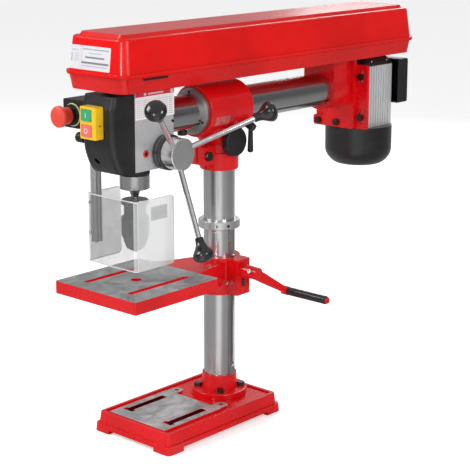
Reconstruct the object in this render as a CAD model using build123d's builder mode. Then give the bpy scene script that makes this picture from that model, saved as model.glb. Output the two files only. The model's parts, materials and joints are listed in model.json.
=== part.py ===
from build123d import *
import os
from math import cos, sin, tan, radians, degrees, pi, atan2, hypot

# Bench radial drill press. Millimetres, +Z up, the operator stands at -Y.
# The origin is on the bench, midway between the two bench bolt holes.

# ---------------------------------------------------------------- driving dimensions
run_gap = 0.05            # radial clearance of running and sliding fits
gap = 0.3                 # clearance between neighbours that only pass each other
bolt_gap = 0.1            # radial clearance round a bolt shank

column_y = 59.0           # column axis behind the bench bolt holes
column_r = 30.0
column_wall = 5.0
column_top = 549.0
throat = 223.0            # spindle axis in front of the column axis

base_width = 198.0
base_length = 314.0
base_height = 37.5
base_wall = 6.0
base_rear = 71.0          # rear edge of the base behind the column axis
foot_size = 40.0
foot_height = 7.0
ledge_height = 16.0
ledge_inset = 5.0
rim_width = 6.0
rim_depth = 3.0
pad_half_width = 72.5
pad_length = 153.0
pad_front_gap = 16.0
bench_hole_spacing = 118.0
bench_hole_r = 4.5
bench_boss_r = 12.0
base_slot_width = 14.0
base_slot_length = 100.0
base_slot_x = 52.0
base_slot_entry = (24.0, 10.0)

flange_r = 54.0
flange_thickness = 12.0
flange_sleeve_wall = 3.0
flange_sleeve_r = column_r + flange_sleeve_wall
flange_top = 77.0
flange_bolt_pcd = 84.0
flange_bolt_r = 4.0
hex_across_flats = 13.0

rack_collar_wall = 10.0
collar_r = column_r + rack_collar_wall
collar_bottom = 369.0
collar_height = 15.5

gear_module = 1.5
gear_backlash = 0.16
rack_gap = 0.4             # between the column and the back of the rack
rack_inner_x = column_r + rack_gap
rack_half_width = 5.0
rack_teeth_from = 95.0
rack_teeth_to = 322.0
lift_gear_teeth = 18
lift_gear_half_width = 4.6
lift_gear_z = 269.0
gear_journal_r = 4.0
worm_pitch_r = 9.5
worm_shaft_r = 6.0

table_width = 208.0
table_length = 209.5
table_ahead = 102.5       # front edge of the table in front of the spindle axis
table_front = throat + table_ahead
table_top = 309.0
table_thickness = 23.0
table_plate = 10.0
table_rim = 8.0
table_slot_x = 56.0
table_slot_length = 151.0
table_slot_width = 12.0
table_hole_r = 10.0
bracket_wall = 10.0
bracket_r = column_r + bracket_wall
bracket_bottom = 242.0
bracket_top = 314.0
gearbox_x = 62.0
gearbox_half_width = 18.0

crank_length = 90.0
crank_drop_deg = 32.0
grip_length = 92.0
grip_r = 8.0

arm_collar_wall = 7.0
arm_collar_r = column_r + arm_collar_wall
arm_bottom = 483.0
arm_collar_top = 517.0
neck_r = 34.5
ram_z = 600.0
ram_r = 32.5
tilt_sleeve_wall = 7.5
tilt_sleeve_r = ram_r + tilt_sleeve_wall
sleeve_wall = 9.0
sleeve_r = tilt_sleeve_r + sleeve_wall
sleeve_front = 71.0       # in front of the column axis
sleeve_rear = 44.0        # behind it
scale_ring_wall = 3.0
scale_ring_r = tilt_sleeve_r + scale_ring_wall
scale_ring_width = 5.0

ram_wall = 6.0
ram_behind = 31.0         # front of the ram behind the spindle axis
ram_front = throat - ram_behind
ram_rear = 338.0
ram_key_angle = -37.0
ram_key_width = 5.0
ram_key_depth = 3.0

head_half_width = 40.0
head_ahead = 36.0         # front of the head casting in front of the spindle axis
head_behind = 63.0        # its rear behind that axis
head_front = throat + head_ahead
head_rear = throat - head_behind
head_bottom = 517.0
head_top = 663.0
cover_depth = 56.0
cover_front = head_front + cover_depth
quill_r = 24.0
quill_bottom = 479.0
quill_top = 620.0
quill_stroke = 50.0
quill_collar_r = 27.0
quill_collar_top = 505.0
bearing_r = 17.5
bearing_bore = 7.5
bearing_width = 11.0
feed_axis_z = 546.0
feed_gear_teeth = 16
feed_shaft_r = 8.0
feed_hub_r = 29.0
feed_hub_end = 88.0
depth_ring_r = 32.0
spoke_root_x = 70.0
spoke_cone_deg = 26.75
spoke_start_deg = 23.0
spoke_reach = 178.0       # from the hub axis to the middle of a knob
spoke_r = 5.0
knob_length = 44.0
knob_r = 19.0

chuck_top = 459.0
chuck_length = 92.0
chuck_r = 25.0
jaw_r = 2.6
jaw_cone_deg = 15.0
jaw_travel = 22.0

pan_bottom = 663.0
lip_z = 691.0
lip_half_width = 79.0
housing_ahead = 99.0      # front of the belt housing in front of the spindle axis
housing_front = throat + housing_ahead
housing_rear = 528.5
shoulder_z = 756.0
lid_top = 762.0
sheet = 2.0
seam_z = 690.7            # top of the pan, just under the lid's lip
lip_height = 5.0
pan_inset = 8.5
wall_inset = 4.0
shoulder_inset = 11.0
plateau_inset = 20.0
pan_hole_r = 18.0
pulley_hub_r = 15.0
rim_land = 1.2
groove_depth = 6.0
groove_slope = 0.8
pulley_bottom = 672.0
pulley_step = 12.6
pulley_radii = (27.0, 34.0, 41.0, 48.0, 55.0)
belt_level = 3            # step counted from the bottom that carries the belt
belt_height = 8.0
belt_thickness = 6.0

motor_y = 437.0
motor_half = 50.0
motor_bore_r = 42.0
motor_bottom = 512.5
motor_top = 640.5
motor_cap_top = 658.0
fan_cover_r = 70.0
fan_cover_bottom = 430.0
motor_shaft_r = 8.0
plate_y = 377.0           # front face of the motor's slotted plate
plate_thickness = 6.0
plate_slots = ((50.0, 538.0), (-50.0, 622.0), (50.0, 622.0))
plate_bolts_low = ((-52.0, 524.0), (-5.0, 524.0))
bracket_low = 513.5
strip_height = 21.0
web_thickness = 10.0
strip_left, strip_right = -66.0, 32.0
terminal_x = 8.0
terminal_width = 116.0
terminal_depth = 34.0

# ---------------------------------------------------------------- derived places
spindle_y = column_y - throat
gear_pitch = pi * gear_module
lift_gear_r = gear_module * lift_gear_teeth / 2
rack_pitch_x = rack_inner_x + 3.6
lift_gear_x = rack_pitch_x + lift_gear_r
worm_z = lift_gear_z + lift_gear_r + worm_pitch_r
feed_gear_r = gear_module * feed_gear_teeth / 2
quill_rack_y = spindle_y + quill_r - gear_module + 0.1
feed_axis_y = quill_rack_y + feed_gear_r
motor_axis_y = column_y + motor_y
base_front_y = column_y + base_rear - base_length
base_mid_y = column_y + base_rear - base_length / 2
sleeve_front_y = column_y - sleeve_front
sleeve_rear_y = column_y + sleeve_rear
head_front_y = column_y - head_front
head_rear_y = column_y - head_rear
cover_front_y = column_y - cover_front
table_front_y = column_y - table_front
table_rear_y = table_front_y + table_length
table_mid_y = (table_front_y + table_rear_y) / 2
plate_front_y = column_y + plate_y
floor_z = base_height - rim_depth
chuck_bottom = chuck_top - chuck_length

os.makedirs("parts", exist_ok=True)


def save(part, label):
    """Name a finished piece and write its file."""
    part.label = label
    export_step(part, f"parts/{label}.step")


def tooth_flank(teeth, radius):
    """Half the angle that one gear tooth spans at a radius, thinned for backlash."""
    pitch_r = gear_module * teeth / 2
    base_r = pitch_r * cos(radians(20))
    spread = tan(radians(20)) - radians(20)
    here = max(radius, base_r)
    angle = atan2((here**2 - base_r**2) ** 0.5, base_r)
    thick = pi / (2 * teeth) + spread - (tan(angle) - angle)
    return thick - gear_backlash / 2 / pitch_r


def gear_outline(teeth, turn_deg=0.0):
    """Corners of a spur gear with 20 degree teeth, centred on the origin."""
    pitch_r = gear_module * teeth / 2
    root, tip = pitch_r - 1.25 * gear_module, pitch_r + gear_module
    points = []
    for tooth in range(teeth):
        middle = radians(turn_deg) + 2 * pi * tooth / teeth
        for side in (-1, 1):
            radii = (root, pitch_r, tip) if side < 0 else (tip, pitch_r, root)
            for r in radii:
                angle = middle + side * tooth_flank(teeth, r)
                points.append((r * cos(angle), r * sin(angle)))
    return points


def rack_profile(back, pitch_line, low, high, first, last, meshing_at):
    """Side outline of a rack as (reach, height) corners, with one tooth centred at meshing_at."""
    tip, root = pitch_line + gear_module, pitch_line - 1.25 * gear_module
    lean = tan(radians(20))
    half = gear_pitch / 4 - gear_backlash / 2
    points = [(back, low), (tip, low), (tip, first), (root, first + (tip - root) * lean)]
    count = int((last - first) // gear_pitch)
    start = meshing_at - gear_pitch * int((meshing_at - first) / gear_pitch - 1)
    for tooth in range(count - 2):
        z = start + tooth * gear_pitch
        points.append((root, z - half - (pitch_line - root) * lean))
        points.append((tip, z - half + (tip - pitch_line) * lean))
        points.append((tip, z + half - (tip - pitch_line) * lean))
        points.append((root, z + half + (pitch_line - root) * lean))
    points += [(root, last), (tip, last + (tip - root) * lean), (tip, high), (back, high)]
    return points


# ================================================================ stand
# Cast base: a hollow, open-bottomed box on four corner feet, with a machined pad on top.
side_span = base_height - ledge_height
with BuildPart() as base:
    with BuildSketch(Plane.XY):
        with Locations((0, base_mid_y)):
            RectangleRounded(base_width, base_length, 10)
    extrude(amount=ledge_height, taper=6)
    with BuildSketch(Plane.XY.offset(ledge_height)):
        with Locations((0, base_mid_y)):
            RectangleRounded(base_width - 2 * ledge_inset, base_length - 2 * ledge_inset, 9)
    extrude(amount=side_span, taper=9)
    with BuildSketch(Plane.XY.offset(base_height)):
        with Locations((0, base_mid_y)):
            inset = ledge_inset + side_span * tan(radians(9)) + rim_width
            RectangleRounded(base_width - 2 * inset, base_length - 2 * inset, 5)
    extrude(amount=-rim_depth, mode=Mode.SUBTRACT)
    # open underside
    with BuildSketch(Plane.XY):
        with Locations((0, base_mid_y)):
            inset = ledge_inset + base_wall
            RectangleRounded(base_width - 2 * inset, base_length - 2 * inset, 6)
    extrude(amount=floor_z - base_wall, taper=6, mode=Mode.SUBTRACT)
    # the skirt is raised between the feet
    with BuildSketch(Plane.XY):
        with Locations((0, base_mid_y)):
            Rectangle(base_width + 10, base_length - 2 * foot_size)
            Rectangle(base_width - 2 * foot_size, base_length + 10)
    extrude(amount=foot_height, mode=Mode.SUBTRACT)
    # ribs under the deck and the boss that carries the column flange
    with BuildSketch(Plane.XY.offset(foot_height + 4)):
        with Locations((0, base_mid_y)):
            Rectangle(base_wall, base_length - 20)
            Rectangle(base_width - 20, base_wall)
    extrude(amount=floor_z - foot_height - 6)
    with BuildSketch(Plane.XY.offset(foot_height + 8)):
        with Locations((0, column_y)):
            Circle(flange_r)
    extrude(amount=floor_z - foot_height - 8)
    # machined pad with its two ears, and the bench bolt bosses down to the bench
    with BuildSketch(Plane.XY.offset(floor_z - 1)):
        with Locations((0, base_front_y + pad_front_gap + pad_length / 2)):
            Rectangle(2 * pad_half_width, pad_length)
        for side in (-1, 1):
            with Locations((side * bench_hole_spacing / 2, -8)):
                Rectangle(2 * bench_boss_r, 16)
            with Locations((side * bench_hole_spacing / 2, 0)):
                Circle(bench_boss_r)
    extrude(amount=base_height + 1 - floor_z + 1)
    with BuildSketch(Plane.XY):
        with Locations((-bench_hole_spacing / 2, 0), (bench_hole_spacing / 2, 0)):
            Circle(bench_boss_r)
    extrude(amount=floor_z)
    with Locations((-bench_hole_spacing / 2, 0, base_height), (bench_hole_spacing / 2, 0, base_height)):
        Hole(bench_hole_r)
    # T-slots, each with a wider entry at its front end
    slot_y = base_front_y + pad_front_gap + 27 + base_slot_length / 2
    with BuildSketch(Plane.XY.offset(foot_height)):
        with Locations((-base_slot_x, slot_y), (base_slot_x, slot_y)):
            Rectangle(base_slot_width, base_slot_length)
        entry_y = slot_y - base_slot_length / 2 + base_slot_entry[1] / 2
        with Locations((-base_slot_x, entry_y), (base_slot_x, entry_y)):
            Rectangle(*base_slot_entry)
    extrude(amount=base_height, mode=Mode.SUBTRACT)
    with Locations((0, column_y, floor_z)):
        with PolarLocations(flange_bolt_pcd / 2, 4, start_angle=45):
            Hole(flange_bolt_r)
save(base.part, "base")

with BuildPart() as column_flange:
    with BuildSketch(Plane.XY.offset(floor_z)):
        with Locations((0, column_y)):
            Circle(flange_r)
    extrude(amount=flange_thickness)
    fillet(column_flange.faces().sort_by(Axis.Z)[-1].edges(), 2)
    with BuildSketch(Plane.XY.offset(floor_z)):
        with Locations((0, column_y)):
            Circle(flange_sleeve_r + 2)
    extrude(amount=flange_top - floor_z, taper=2.2)
    with BuildSketch(Plane.XY.offset(floor_z)):
        with Locations((0, column_y)):
            Circle(column_r)
    extrude(amount=flange_top, mode=Mode.SUBTRACT)
    with Locations((0, column_y, floor_z + flange_thickness)):
        with PolarLocations(flange_bolt_pcd / 2, 4, start_angle=45):
            Hole(flange_bolt_r + bolt_gap)
save(column_flange.part, "column_flange")

bolt_seat = floor_z + flange_thickness
with BuildPart() as flange_bolts:
    with Locations((0, column_y, 0)):
        with PolarLocations(flange_bolt_pcd / 2, 4, start_angle=45):
            with Locations((0, 0, bolt_seat + 0.8)):
                Cylinder(7, 1.6)
            with Locations((0, 0, foot_height + 10)):
                height = bolt_seat - foot_height - 10
                Cylinder(flange_bolt_r, height, align=(Align.CENTER, Align.CENTER, Align.MIN))
    with BuildSketch(Plane.XY.offset(bolt_seat + 1.6)):
        with Locations((0, column_y)):
            with PolarLocations(flange_bolt_pcd / 2, 4, start_angle=45):
                RegularPolygon(hex_across_flats / 2, 6, major_radius=False)
    extrude(amount=5.5)
save(flange_bolts.part, "flange_bolts")

with BuildPart() as column:
    with BuildSketch(Plane.XY.offset(floor_z)):
        with Locations((0, column_y)):
            Circle(column_r)
            Circle(column_r - column_wall, mode=Mode.SUBTRACT)
    extrude(amount=column_top - floor_z)
    chamfer(column.faces().sort_by(Axis.Z)[-1].edges().sort_by(SortBy.RADIUS)[-1], 1)
save(column.part, "column")

# Ring that holds the rack's upper end, clamped to the column by a set screw.
with BuildPart() as rack_collar:
    with BuildSketch(Plane.XY.offset(collar_bottom)):
        with Locations((0, column_y)):
            Circle(collar_r)
            Circle(column_r, mode=Mode.SUBTRACT)
    extrude(amount=collar_height)
    outer = rack_collar.edges().filter_by(GeomType.CIRCLE).group_by(SortBy.RADIUS)[-1]
    chamfer(outer, 1)
    with BuildSketch(Plane(origin=(0, column_y, collar_bottom + collar_height / 2), z_dir=(0.6, -0.8, 0))):
        Circle(3)
    extrude(amount=collar_r + 5, mode=Mode.SUBTRACT)
save(rack_collar.part, "rack_collar")

# ================================================================ rack, turns round the column
with BuildPart() as column_rack:
    with BuildSketch(Plane(origin=(0, column_y, 0), x_dir=(1, 0, 0), z_dir=(0, -1, 0))):
        with BuildLine():
            Polyline(
                *rack_profile(
                    rack_inner_x,
                    rack_pitch_x,
                    flange_top + gap,
                    collar_bottom - gap,
                    rack_teeth_from,
                    rack_teeth_to,
                    lift_gear_z,
                ),
                close=True,
            )
        make_face()
    extrude(amount=rack_half_width, both=True)
save(column_rack.part, "column_rack")

# ================================================================ table
with BuildPart() as table:
    # square plate with a pocketed underside
    with BuildSketch(Plane.XY.offset(table_top - table_thickness)):
        with Locations((0, table_mid_y)):
            RectangleRounded(table_width, table_length, 3)
    extrude(amount=table_thickness)
    with BuildSketch(Plane.XY.offset(table_top - table_thickness)):
        with Locations((0, table_mid_y)):
            RectangleRounded(table_width - 2 * table_rim, table_length - 2 * table_rim, 5)
        with Locations((0, spindle_y)):
            Circle(table_hole_r + 9, mode=Mode.SUBTRACT)
            Rectangle(table_width, table_rim, mode=Mode.SUBTRACT)
            Rectangle(table_rim, 2 * table_length, mode=Mode.SUBTRACT)
    extrude(amount=table_thickness - table_plate, mode=Mode.SUBTRACT)
    # neck from the rear edge to the column clamp
    with BuildSketch(Plane.XY.offset(bracket_bottom + 22)):
        with BuildLine():
            Polyline(
                (-76, table_rear_y - 1),
                (52, table_rear_y - 1),
                (33, column_y - 14),
                (33, column_y),
                (-33, column_y),
                (-36, column_y - 26),
                (-58, table_rear_y + 26),
                close=True,
            )
        make_face()
    extrude(amount=table_top - 2 - bracket_bottom - 22)
    with BuildSketch(Plane.XY.offset(bracket_bottom)):
        with Locations((0, column_y)):
            Circle(bracket_r)
    extrude(amount=bracket_top - bracket_bottom)
    # gear housing beside the rack
    with BuildSketch(Plane.XY.offset(bracket_bottom + 3)):
        with Locations((gearbox_x / 2, column_y)):
            Rectangle(gearbox_x, 2 * gearbox_half_width)
    extrude(amount=bracket_top - bracket_bottom - 3)
    # round boss for the crank shaft
    with BuildSketch(Plane.YZ.offset(gearbox_x - 1)):
        with Locations((column_y, worm_z)):
            Circle(15)
    extrude(amount=6)
    # clamp ears behind the column
    with BuildSketch(Plane.XY.offset(bracket_bottom + 14)):
        with Locations((0, column_y + bracket_r + 3)):
            Rectangle(34, 30)
    extrude(amount=bracket_top - bracket_bottom - 28)
    # bore, rack way, gear chamber and worm chamber
    with BuildSketch(Plane.XY.offset(bracket_bottom)):
        with Locations((0, column_y)):
            Circle(column_r + run_gap)
        with Locations((rack_pitch_x / 2 + 1, column_y)):
            Rectangle(rack_pitch_x + 2.4, 2 * (rack_half_width + 0.4))
    extrude(amount=bracket_top - bracket_bottom, mode=Mode.SUBTRACT)
    chamber = lift_gear_r + 2 * gear_module
    with BuildSketch(Plane(origin=(0, column_y, 0), x_dir=(1, 0, 0), z_dir=(0, -1, 0))):
        with Locations((lift_gear_x, lift_gear_z)):
            Circle(chamber)
        with Locations((lift_gear_x - chamber / 2, lift_gear_z)):
            Rectangle(chamber, 2 * chamber)
    extrude(amount=lift_gear_half_width + gap, both=True, mode=Mode.SUBTRACT)
    with BuildSketch(Plane.YZ.offset(rack_pitch_x + 4)):
        with Locations((column_y, worm_z)):
            Circle(worm_pitch_r + gear_module + 0.5)
    extrude(amount=gearbox_x, mode=Mode.SUBTRACT)
    with BuildSketch(Plane(origin=(0, column_y, 0), x_dir=(1, 0, 0), z_dir=(0, -1, 0))):
        with Locations((lift_gear_x, lift_gear_z)):
            Circle(gear_journal_r + run_gap)
    extrude(amount=gearbox_half_width, both=True, mode=Mode.SUBTRACT)
    # slit and cross hole of the column clamp
    with BuildSketch(Plane.XY.offset(bracket_bottom)):
        with Locations((0, column_y + bracket_r)):
            Rectangle(3, 50)
    extrude(amount=bracket_top - bracket_bottom, mode=Mode.SUBTRACT)
    clamp_z = (bracket_bottom + bracket_top) / 2
    clamp_y = column_y + bracket_r + 8
    with BuildSketch(Plane.YZ.offset(-20)):
        with Locations((clamp_y, clamp_z)):
            Circle(5 + run_gap)
    extrude(amount=40, mode=Mode.SUBTRACT)
    # centre hole and the two work-holding slots
    with Locations((0, spindle_y, table_top)):
        Hole(table_hole_r)
    with BuildSketch(Plane.XY.offset(table_top)):
        with Locations((-table_slot_x, table_mid_y), (table_slot_x, table_mid_y)):
            SlotOverall(table_slot_length, table_slot_width, rotation=90)
    extrude(amount=-table_thickness, mode=Mode.SUBTRACT)
save(table.part, "table")

with BuildPart() as table_lock_lever:
    with BuildSketch(Plane.YZ.offset(-17 - gap)):
        with Locations((clamp_y, clamp_z)):
            Circle(9)
    extrude(amount=-14)
    with BuildSketch(Plane.YZ.offset(-18)):
        with Locations((clamp_y, clamp_z)):
            Circle(5)
    extrude(amount=38)
    with BuildSketch(Plane(origin=(-25, clamp_y, clamp_z), z_dir=(-0.35, 0.3, -0.88))):
        Circle(4)
    extrude(amount=58, taper=-1.5)
    fillet(table_lock_lever.faces().sort_by(Axis.Z)[0].edges(), 2.5)
save(table_lock_lever.part, "table_lock_lever")

with BuildPart() as lift_gear:
    with BuildSketch(Plane(origin=(lift_gear_x, column_y, lift_gear_z), x_dir=(1, 0, 0), z_dir=(0, -1, 0))):
        with BuildLine():
            Polyline(*gear_outline(lift_gear_teeth, 180 / lift_gear_teeth), close=True)
        make_face()
    extrude(amount=lift_gear_half_width, both=True)
    # journals that run in the bracket
    with BuildSketch(Plane(origin=(lift_gear_x, column_y, lift_gear_z), x_dir=(1, 0, 0), z_dir=(0, -1, 0))):
        Circle(gear_journal_r)
    extrude(amount=gearbox_half_width, both=True)
save(lift_gear.part, "lift_gear")

# Worm on the crank shaft: a helical thread thinned so that it clears the straight gear teeth.
worm_length = 3 * gear_pitch
worm_start = lift_gear_x - worm_length / 2
worm_root_r = worm_pitch_r - 1.25 * gear_module
thread_phase = 180
worm_plane = Plane(origin=(worm_start, column_y, worm_z), x_dir=(0, 0, 1), z_dir=(1, 0, 0))
thread_helix = Helix(pitch=gear_pitch, height=worm_length, radius=worm_root_r)
thread_path = worm_plane * Rot(0, 0, thread_phase) * thread_helix
outward = (thread_path @ 0) - Vector(worm_start, column_y, worm_z)
thread_start = Plane(origin=thread_path @ 0, x_dir=(thread_path % 0).cross(outward), z_dir=thread_path % 0)
with BuildPart() as worm_shaft:
    with BuildSketch(thread_start):
        with BuildLine():
            Polyline((-1.1, -0.8), (1.1, -0.8), (0.2, 3.0), (-0.2, 3.0), close=True)
        make_face()
    sweep(path=thread_path, is_frenet=True)
    worm_left = rack_pitch_x + 4.4
    with BuildSketch(Plane.YZ.offset(worm_left)):
        with Locations((column_y, worm_z)):
            Circle(worm_root_r)
    extrude(amount=gearbox_x - 4 - worm_left)
    with BuildSketch(Plane.YZ.offset(gearbox_x - 4)):
        with Locations((column_y, worm_z)):
            Circle(worm_pitch_r + gear_module + 0.5 - run_gap)
    extrude(amount=8)
    with BuildSketch(Plane.YZ.offset(gearbox_x)):
        with Locations((column_y, worm_z)):
            Circle(worm_shaft_r)
    extrude(amount=37)
save(worm_shaft.part, "worm_shaft")

# Crank arm: a hub on the shaft, a bent arm and an eye for the grip.
arm_dir = (cos(radians(crank_drop_deg)), -sin(radians(crank_drop_deg)))
eye_y = column_y + crank_length * arm_dir[0]
eye_z = worm_z + crank_length * arm_dir[1]
hub_x = gearbox_x + 5 + gap
eye_x = 101.0
with BuildPart() as crank_arm:
    with BuildSketch(Plane.YZ.offset(hub_x)):
        with Locations((column_y, worm_z)):
            Circle(13)
    with BuildSketch(Plane.YZ.offset(hub_x + 33)):
        with Locations((column_y, worm_z)):
            Circle(11.5)
    loft()
    with BuildSketch(Plane.YZ.offset(eye_x - 3)):
        with Locations((eye_y, eye_z)):
            Circle(8.5)
    extrude(amount=13)
    along = Vector(0, arm_dir[0], arm_dir[1])
    hub_point = Vector(hub_x + 18, column_y, worm_z)
    eye_point = Vector(eye_x + 3, eye_y, eye_z)
    span = (eye_point - hub_point).normalized()
    with BuildSketch(Plane(origin=hub_point, x_dir=Vector(1, 0, 0), z_dir=span)):
        RectangleRounded(17, 22, 5)
    with BuildSketch(Plane(origin=eye_point, x_dir=Vector(1, 0, 0), z_dir=span)):
        RectangleRounded(9, 12, 4)
    loft()
    with BuildSketch(Plane.YZ.offset(hub_x)):
        with Locations((column_y, worm_z)):
            Circle(worm_shaft_r)
    extrude(amount=99 - hub_x, mode=Mode.SUBTRACT)
    # pin for the grip
    with BuildSketch(Plane.YZ.offset(eye_x + 9)):
        with Locations((eye_y, eye_z)):
            Circle(4)
    extrude(amount=grip_length + 4)
    with BuildSketch(Plane.YZ.offset(eye_x + 10 + gap + grip_length + gap)):
        with Locations((eye_y, eye_z)):
            Circle(6)
    extrude(amount=3)
save(crank_arm.part, "crank_arm")

with BuildPart() as crank_grip:
    with BuildSketch(Plane.YZ.offset(eye_x + 10 + gap)):
        with Locations((eye_y, eye_z)):
            Circle(grip_r)
    extrude(amount=grip_length)
    fillet(crank_grip.edges(), 1.5)
    with BuildSketch(Plane.YZ.offset(eye_x + 10 + gap)):
        with Locations((eye_y, eye_z)):
            Circle(4 + run_gap)
    extrude(amount=grip_length, mode=Mode.SUBTRACT)
save(crank_grip.part, "crank_grip")

# ================================================================ arm bracket, swings on the column
with BuildPart() as arm_bracket:
    with BuildSketch(Plane.XY.offset(arm_bottom)):
        with Locations((0, column_y)):
            Circle(arm_collar_r)
    extrude(amount=arm_collar_top - arm_bottom)
    chamfer(arm_bracket.edges().filter_by(GeomType.CIRCLE), 1.2)
    with BuildSketch(Plane.XY.offset(arm_collar_top - 1)):
        with Locations((0, column_y)):
            Circle(neck_r)
    extrude(amount=30)
    saddle_mid = (sleeve_front_y + sleeve_rear_y) / 2
    with BuildSketch(Plane.XY.offset(arm_collar_top + 16)):
        with Locations((0, column_y)):
            RectangleRounded(2 * neck_r, 2 * neck_r, neck_r - 0.5)
    with BuildSketch(Plane.XY.offset(ram_z - 26)):
        with Locations((0, saddle_mid)):
            RectangleRounded(73, sleeve_front + sleeve_rear - 12, 14)
    loft()
    with BuildSketch(Plane(origin=(0, sleeve_front_y, ram_z), x_dir=(1, 0, 0), z_dir=(0, 1, 0))):
        Circle(sleeve_r)
    extrude(amount=sleeve_front + sleeve_rear)
    rims = arm_bracket.edges().filter_by(GeomType.CIRCLE)
    fillet([e for e in rims if abs(e.radius - sleeve_r) < 0.01 and abs(e.center().Z - ram_z) < 1], 2)
    # clamp ears at the front of the collar
    with BuildSketch(Plane.XY.offset(arm_bottom + 14)):
        with Locations((0, column_y - arm_collar_r - 8)):
            Rectangle(36, 32)
    extrude(amount=arm_collar_top + 14 - arm_bottom - 14)
    # boss of the ram clamp lever, and of the swivel lock
    lever_axis = Vector(cos(radians(-30)), 0, sin(radians(-30)))
    lever_y = column_y + 25
    with BuildSketch(Plane(origin=Vector(0, lever_y, ram_z) + lever_axis * tilt_sleeve_r, z_dir=lever_axis)):
        Circle(12)
    extrude(amount=14)
    knob_z = column_top - 10
    with BuildSketch(Plane.YZ.offset(20)):
        with Locations((column_y - 4, knob_z)):
            Circle(12)
    extrude(amount=arm_collar_r - 20)
    # bores
    with BuildSketch(Plane.XY.offset(arm_bottom)):
        with Locations((0, column_y)):
            Circle(column_r + run_gap)
    extrude(amount=column_top + gap - arm_bottom, mode=Mode.SUBTRACT)
    with BuildSketch(Plane(origin=(0, sleeve_front_y, ram_z), x_dir=(1, 0, 0), z_dir=(0, 1, 0))):
        Circle(tilt_sleeve_r + run_gap)
    extrude(amount=sleeve_front + sleeve_rear, mode=Mode.SUBTRACT)
    with BuildSketch(Plane.XY.offset(arm_bottom)):
        with Locations((0, column_y - arm_collar_r - 6)):
            Rectangle(3, 40)
    extrude(amount=arm_collar_top + 15 - arm_bottom, mode=Mode.SUBTRACT)
    ear_y = column_y - arm_collar_r - 13
    ear_z = (arm_bottom + arm_collar_top) / 2 + 14
    with BuildSketch(Plane.YZ.offset(-20)):
        with Locations((ear_y, ear_z)):
            Circle(5 + bolt_gap)
    extrude(amount=40, mode=Mode.SUBTRACT)
    bore_start = Vector(0, lever_y, ram_z) + lever_axis * (tilt_sleeve_r - 1)
    with BuildSketch(Plane(origin=bore_start, z_dir=lever_axis)):
        Circle(5 + run_gap)
    extrude(amount=20, mode=Mode.SUBTRACT)
    with BuildSketch(Plane.YZ.offset(24)):
        with Locations((column_y - 4, knob_z)):
            Circle(5 + run_gap)
    extrude(amount=20, mode=Mode.SUBTRACT)
save(arm_bracket.part, "arm_bracket")

with BuildPart() as swivel_clamp_bolt:
    with BuildSketch(Plane.YZ.offset(-18)):
        with Locations((ear_y, ear_z)):
            Circle(8.5)
    extrude(amount=-9)
    with BuildSketch(Plane.YZ.offset(-18)):
        with Locations((ear_y, ear_z)):
            Circle(5)
    extrude(amount=42)
    with BuildSketch(Plane.YZ.offset(18)):
        with Locations((ear_y, ear_z)):
            RegularPolygon(8, 6, major_radius=False)
            Circle(5, mode=Mode.SUBTRACT)
    extrude(amount=6)
    with BuildSketch(Plane.YZ.offset(-27)):
        with Locations((ear_y, ear_z)):
            RegularPolygon(4, 6, major_radius=False)
    extrude(amount=5, mode=Mode.SUBTRACT)
save(swivel_clamp_bolt.part, "swivel_clamp_bolt")

with BuildPart() as swivel_lock_knob:
    with BuildSketch(Plane.YZ.offset(arm_collar_r + gap)):
        with Locations((column_y - 4, knob_z)):
            Circle(28)
    extrude(amount=13)
    fillet(swivel_lock_knob.faces().sort_by(Axis.X)[-1].edges(), 4)
    with BuildSketch(Plane.YZ.offset(column_r + 0.5)):
        with Locations((column_y - 4, knob_z)):
            Circle(5)
    extrude(amount=arm_collar_r + gap + 3.2 - column_r - 0.5)
save(swivel_lock_knob.part, "swivel_lock_knob")

with BuildPart() as ram_lock_lever:
    lever_foot = Vector(0, lever_y, ram_z) + lever_axis * (tilt_sleeve_r + 14 + gap)
    with BuildSketch(Plane(origin=lever_foot, z_dir=lever_axis)):
        Circle(9)
    extrude(amount=20, taper=4)
    shank_end = Vector(0, lever_y, ram_z) + lever_axis * (tilt_sleeve_r + gap)
    with BuildSketch(Plane(origin=shank_end, z_dir=lever_axis)):
        Circle(5)
    extrude(amount=16)
    with BuildSketch(Plane(origin=lever_foot + lever_axis * 12, z_dir=(-0.1, 0.1, -1))):
        Circle(4)
    extrude(amount=52, taper=-2)
    fillet(ram_lock_lever.faces().sort_by(Axis.Z)[0].edges(), 3)
save(ram_lock_lever.part, "ram_lock_lever")

# Turning sleeve: lets the ram tilt, and its key keeps the ram from turning in it.
retainer_front = sleeve_front_y - scale_ring_width - 4
key_dir = Vector(cos(radians(ram_key_angle)), 0, sin(radians(ram_key_angle)))
with BuildPart() as tilt_sleeve:
    with BuildSketch(Plane(origin=(0, retainer_front, ram_z), x_dir=(1, 0, 0), z_dir=(0, 1, 0))):
        Circle(tilt_sleeve_r)
    extrude(amount=sleeve_rear_y - retainer_front)
    with BuildSketch(Plane(origin=(0, sleeve_rear_y + gap, ram_z), x_dir=(1, 0, 0), z_dir=(0, 1, 0))):
        Circle(tilt_sleeve_r + 5)
        Circle(tilt_sleeve_r - 2, mode=Mode.SUBTRACT)
    extrude(amount=3)
    with BuildSketch(Plane(origin=(0, sleeve_rear_y - 1, ram_z), x_dir=(1, 0, 0), z_dir=(0, 1, 0))):
        Circle(tilt_sleeve_r)
    extrude(amount=1 + gap + 3)
    with BuildSketch(Plane(origin=(0, retainer_front, ram_z), x_dir=(1, 0, 0), z_dir=(0, 1, 0))):
        Circle(ram_r + run_gap)
    extrude(amount=sleeve_rear_y - retainer_front + 5, mode=Mode.SUBTRACT)
    key_root = Vector(0, retainer_front + 12, ram_z) + key_dir * (ram_r - 2.2)
    with BuildSketch(Plane(origin=key_root, x_dir=(0, 1, 0), z_dir=key_dir)):
        Rectangle(60, ram_key_width - 0.4, align=(Align.MIN, Align.CENTER))
    extrude(amount=4)
save(tilt_sleeve.part, "tilt_sleeve")

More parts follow.
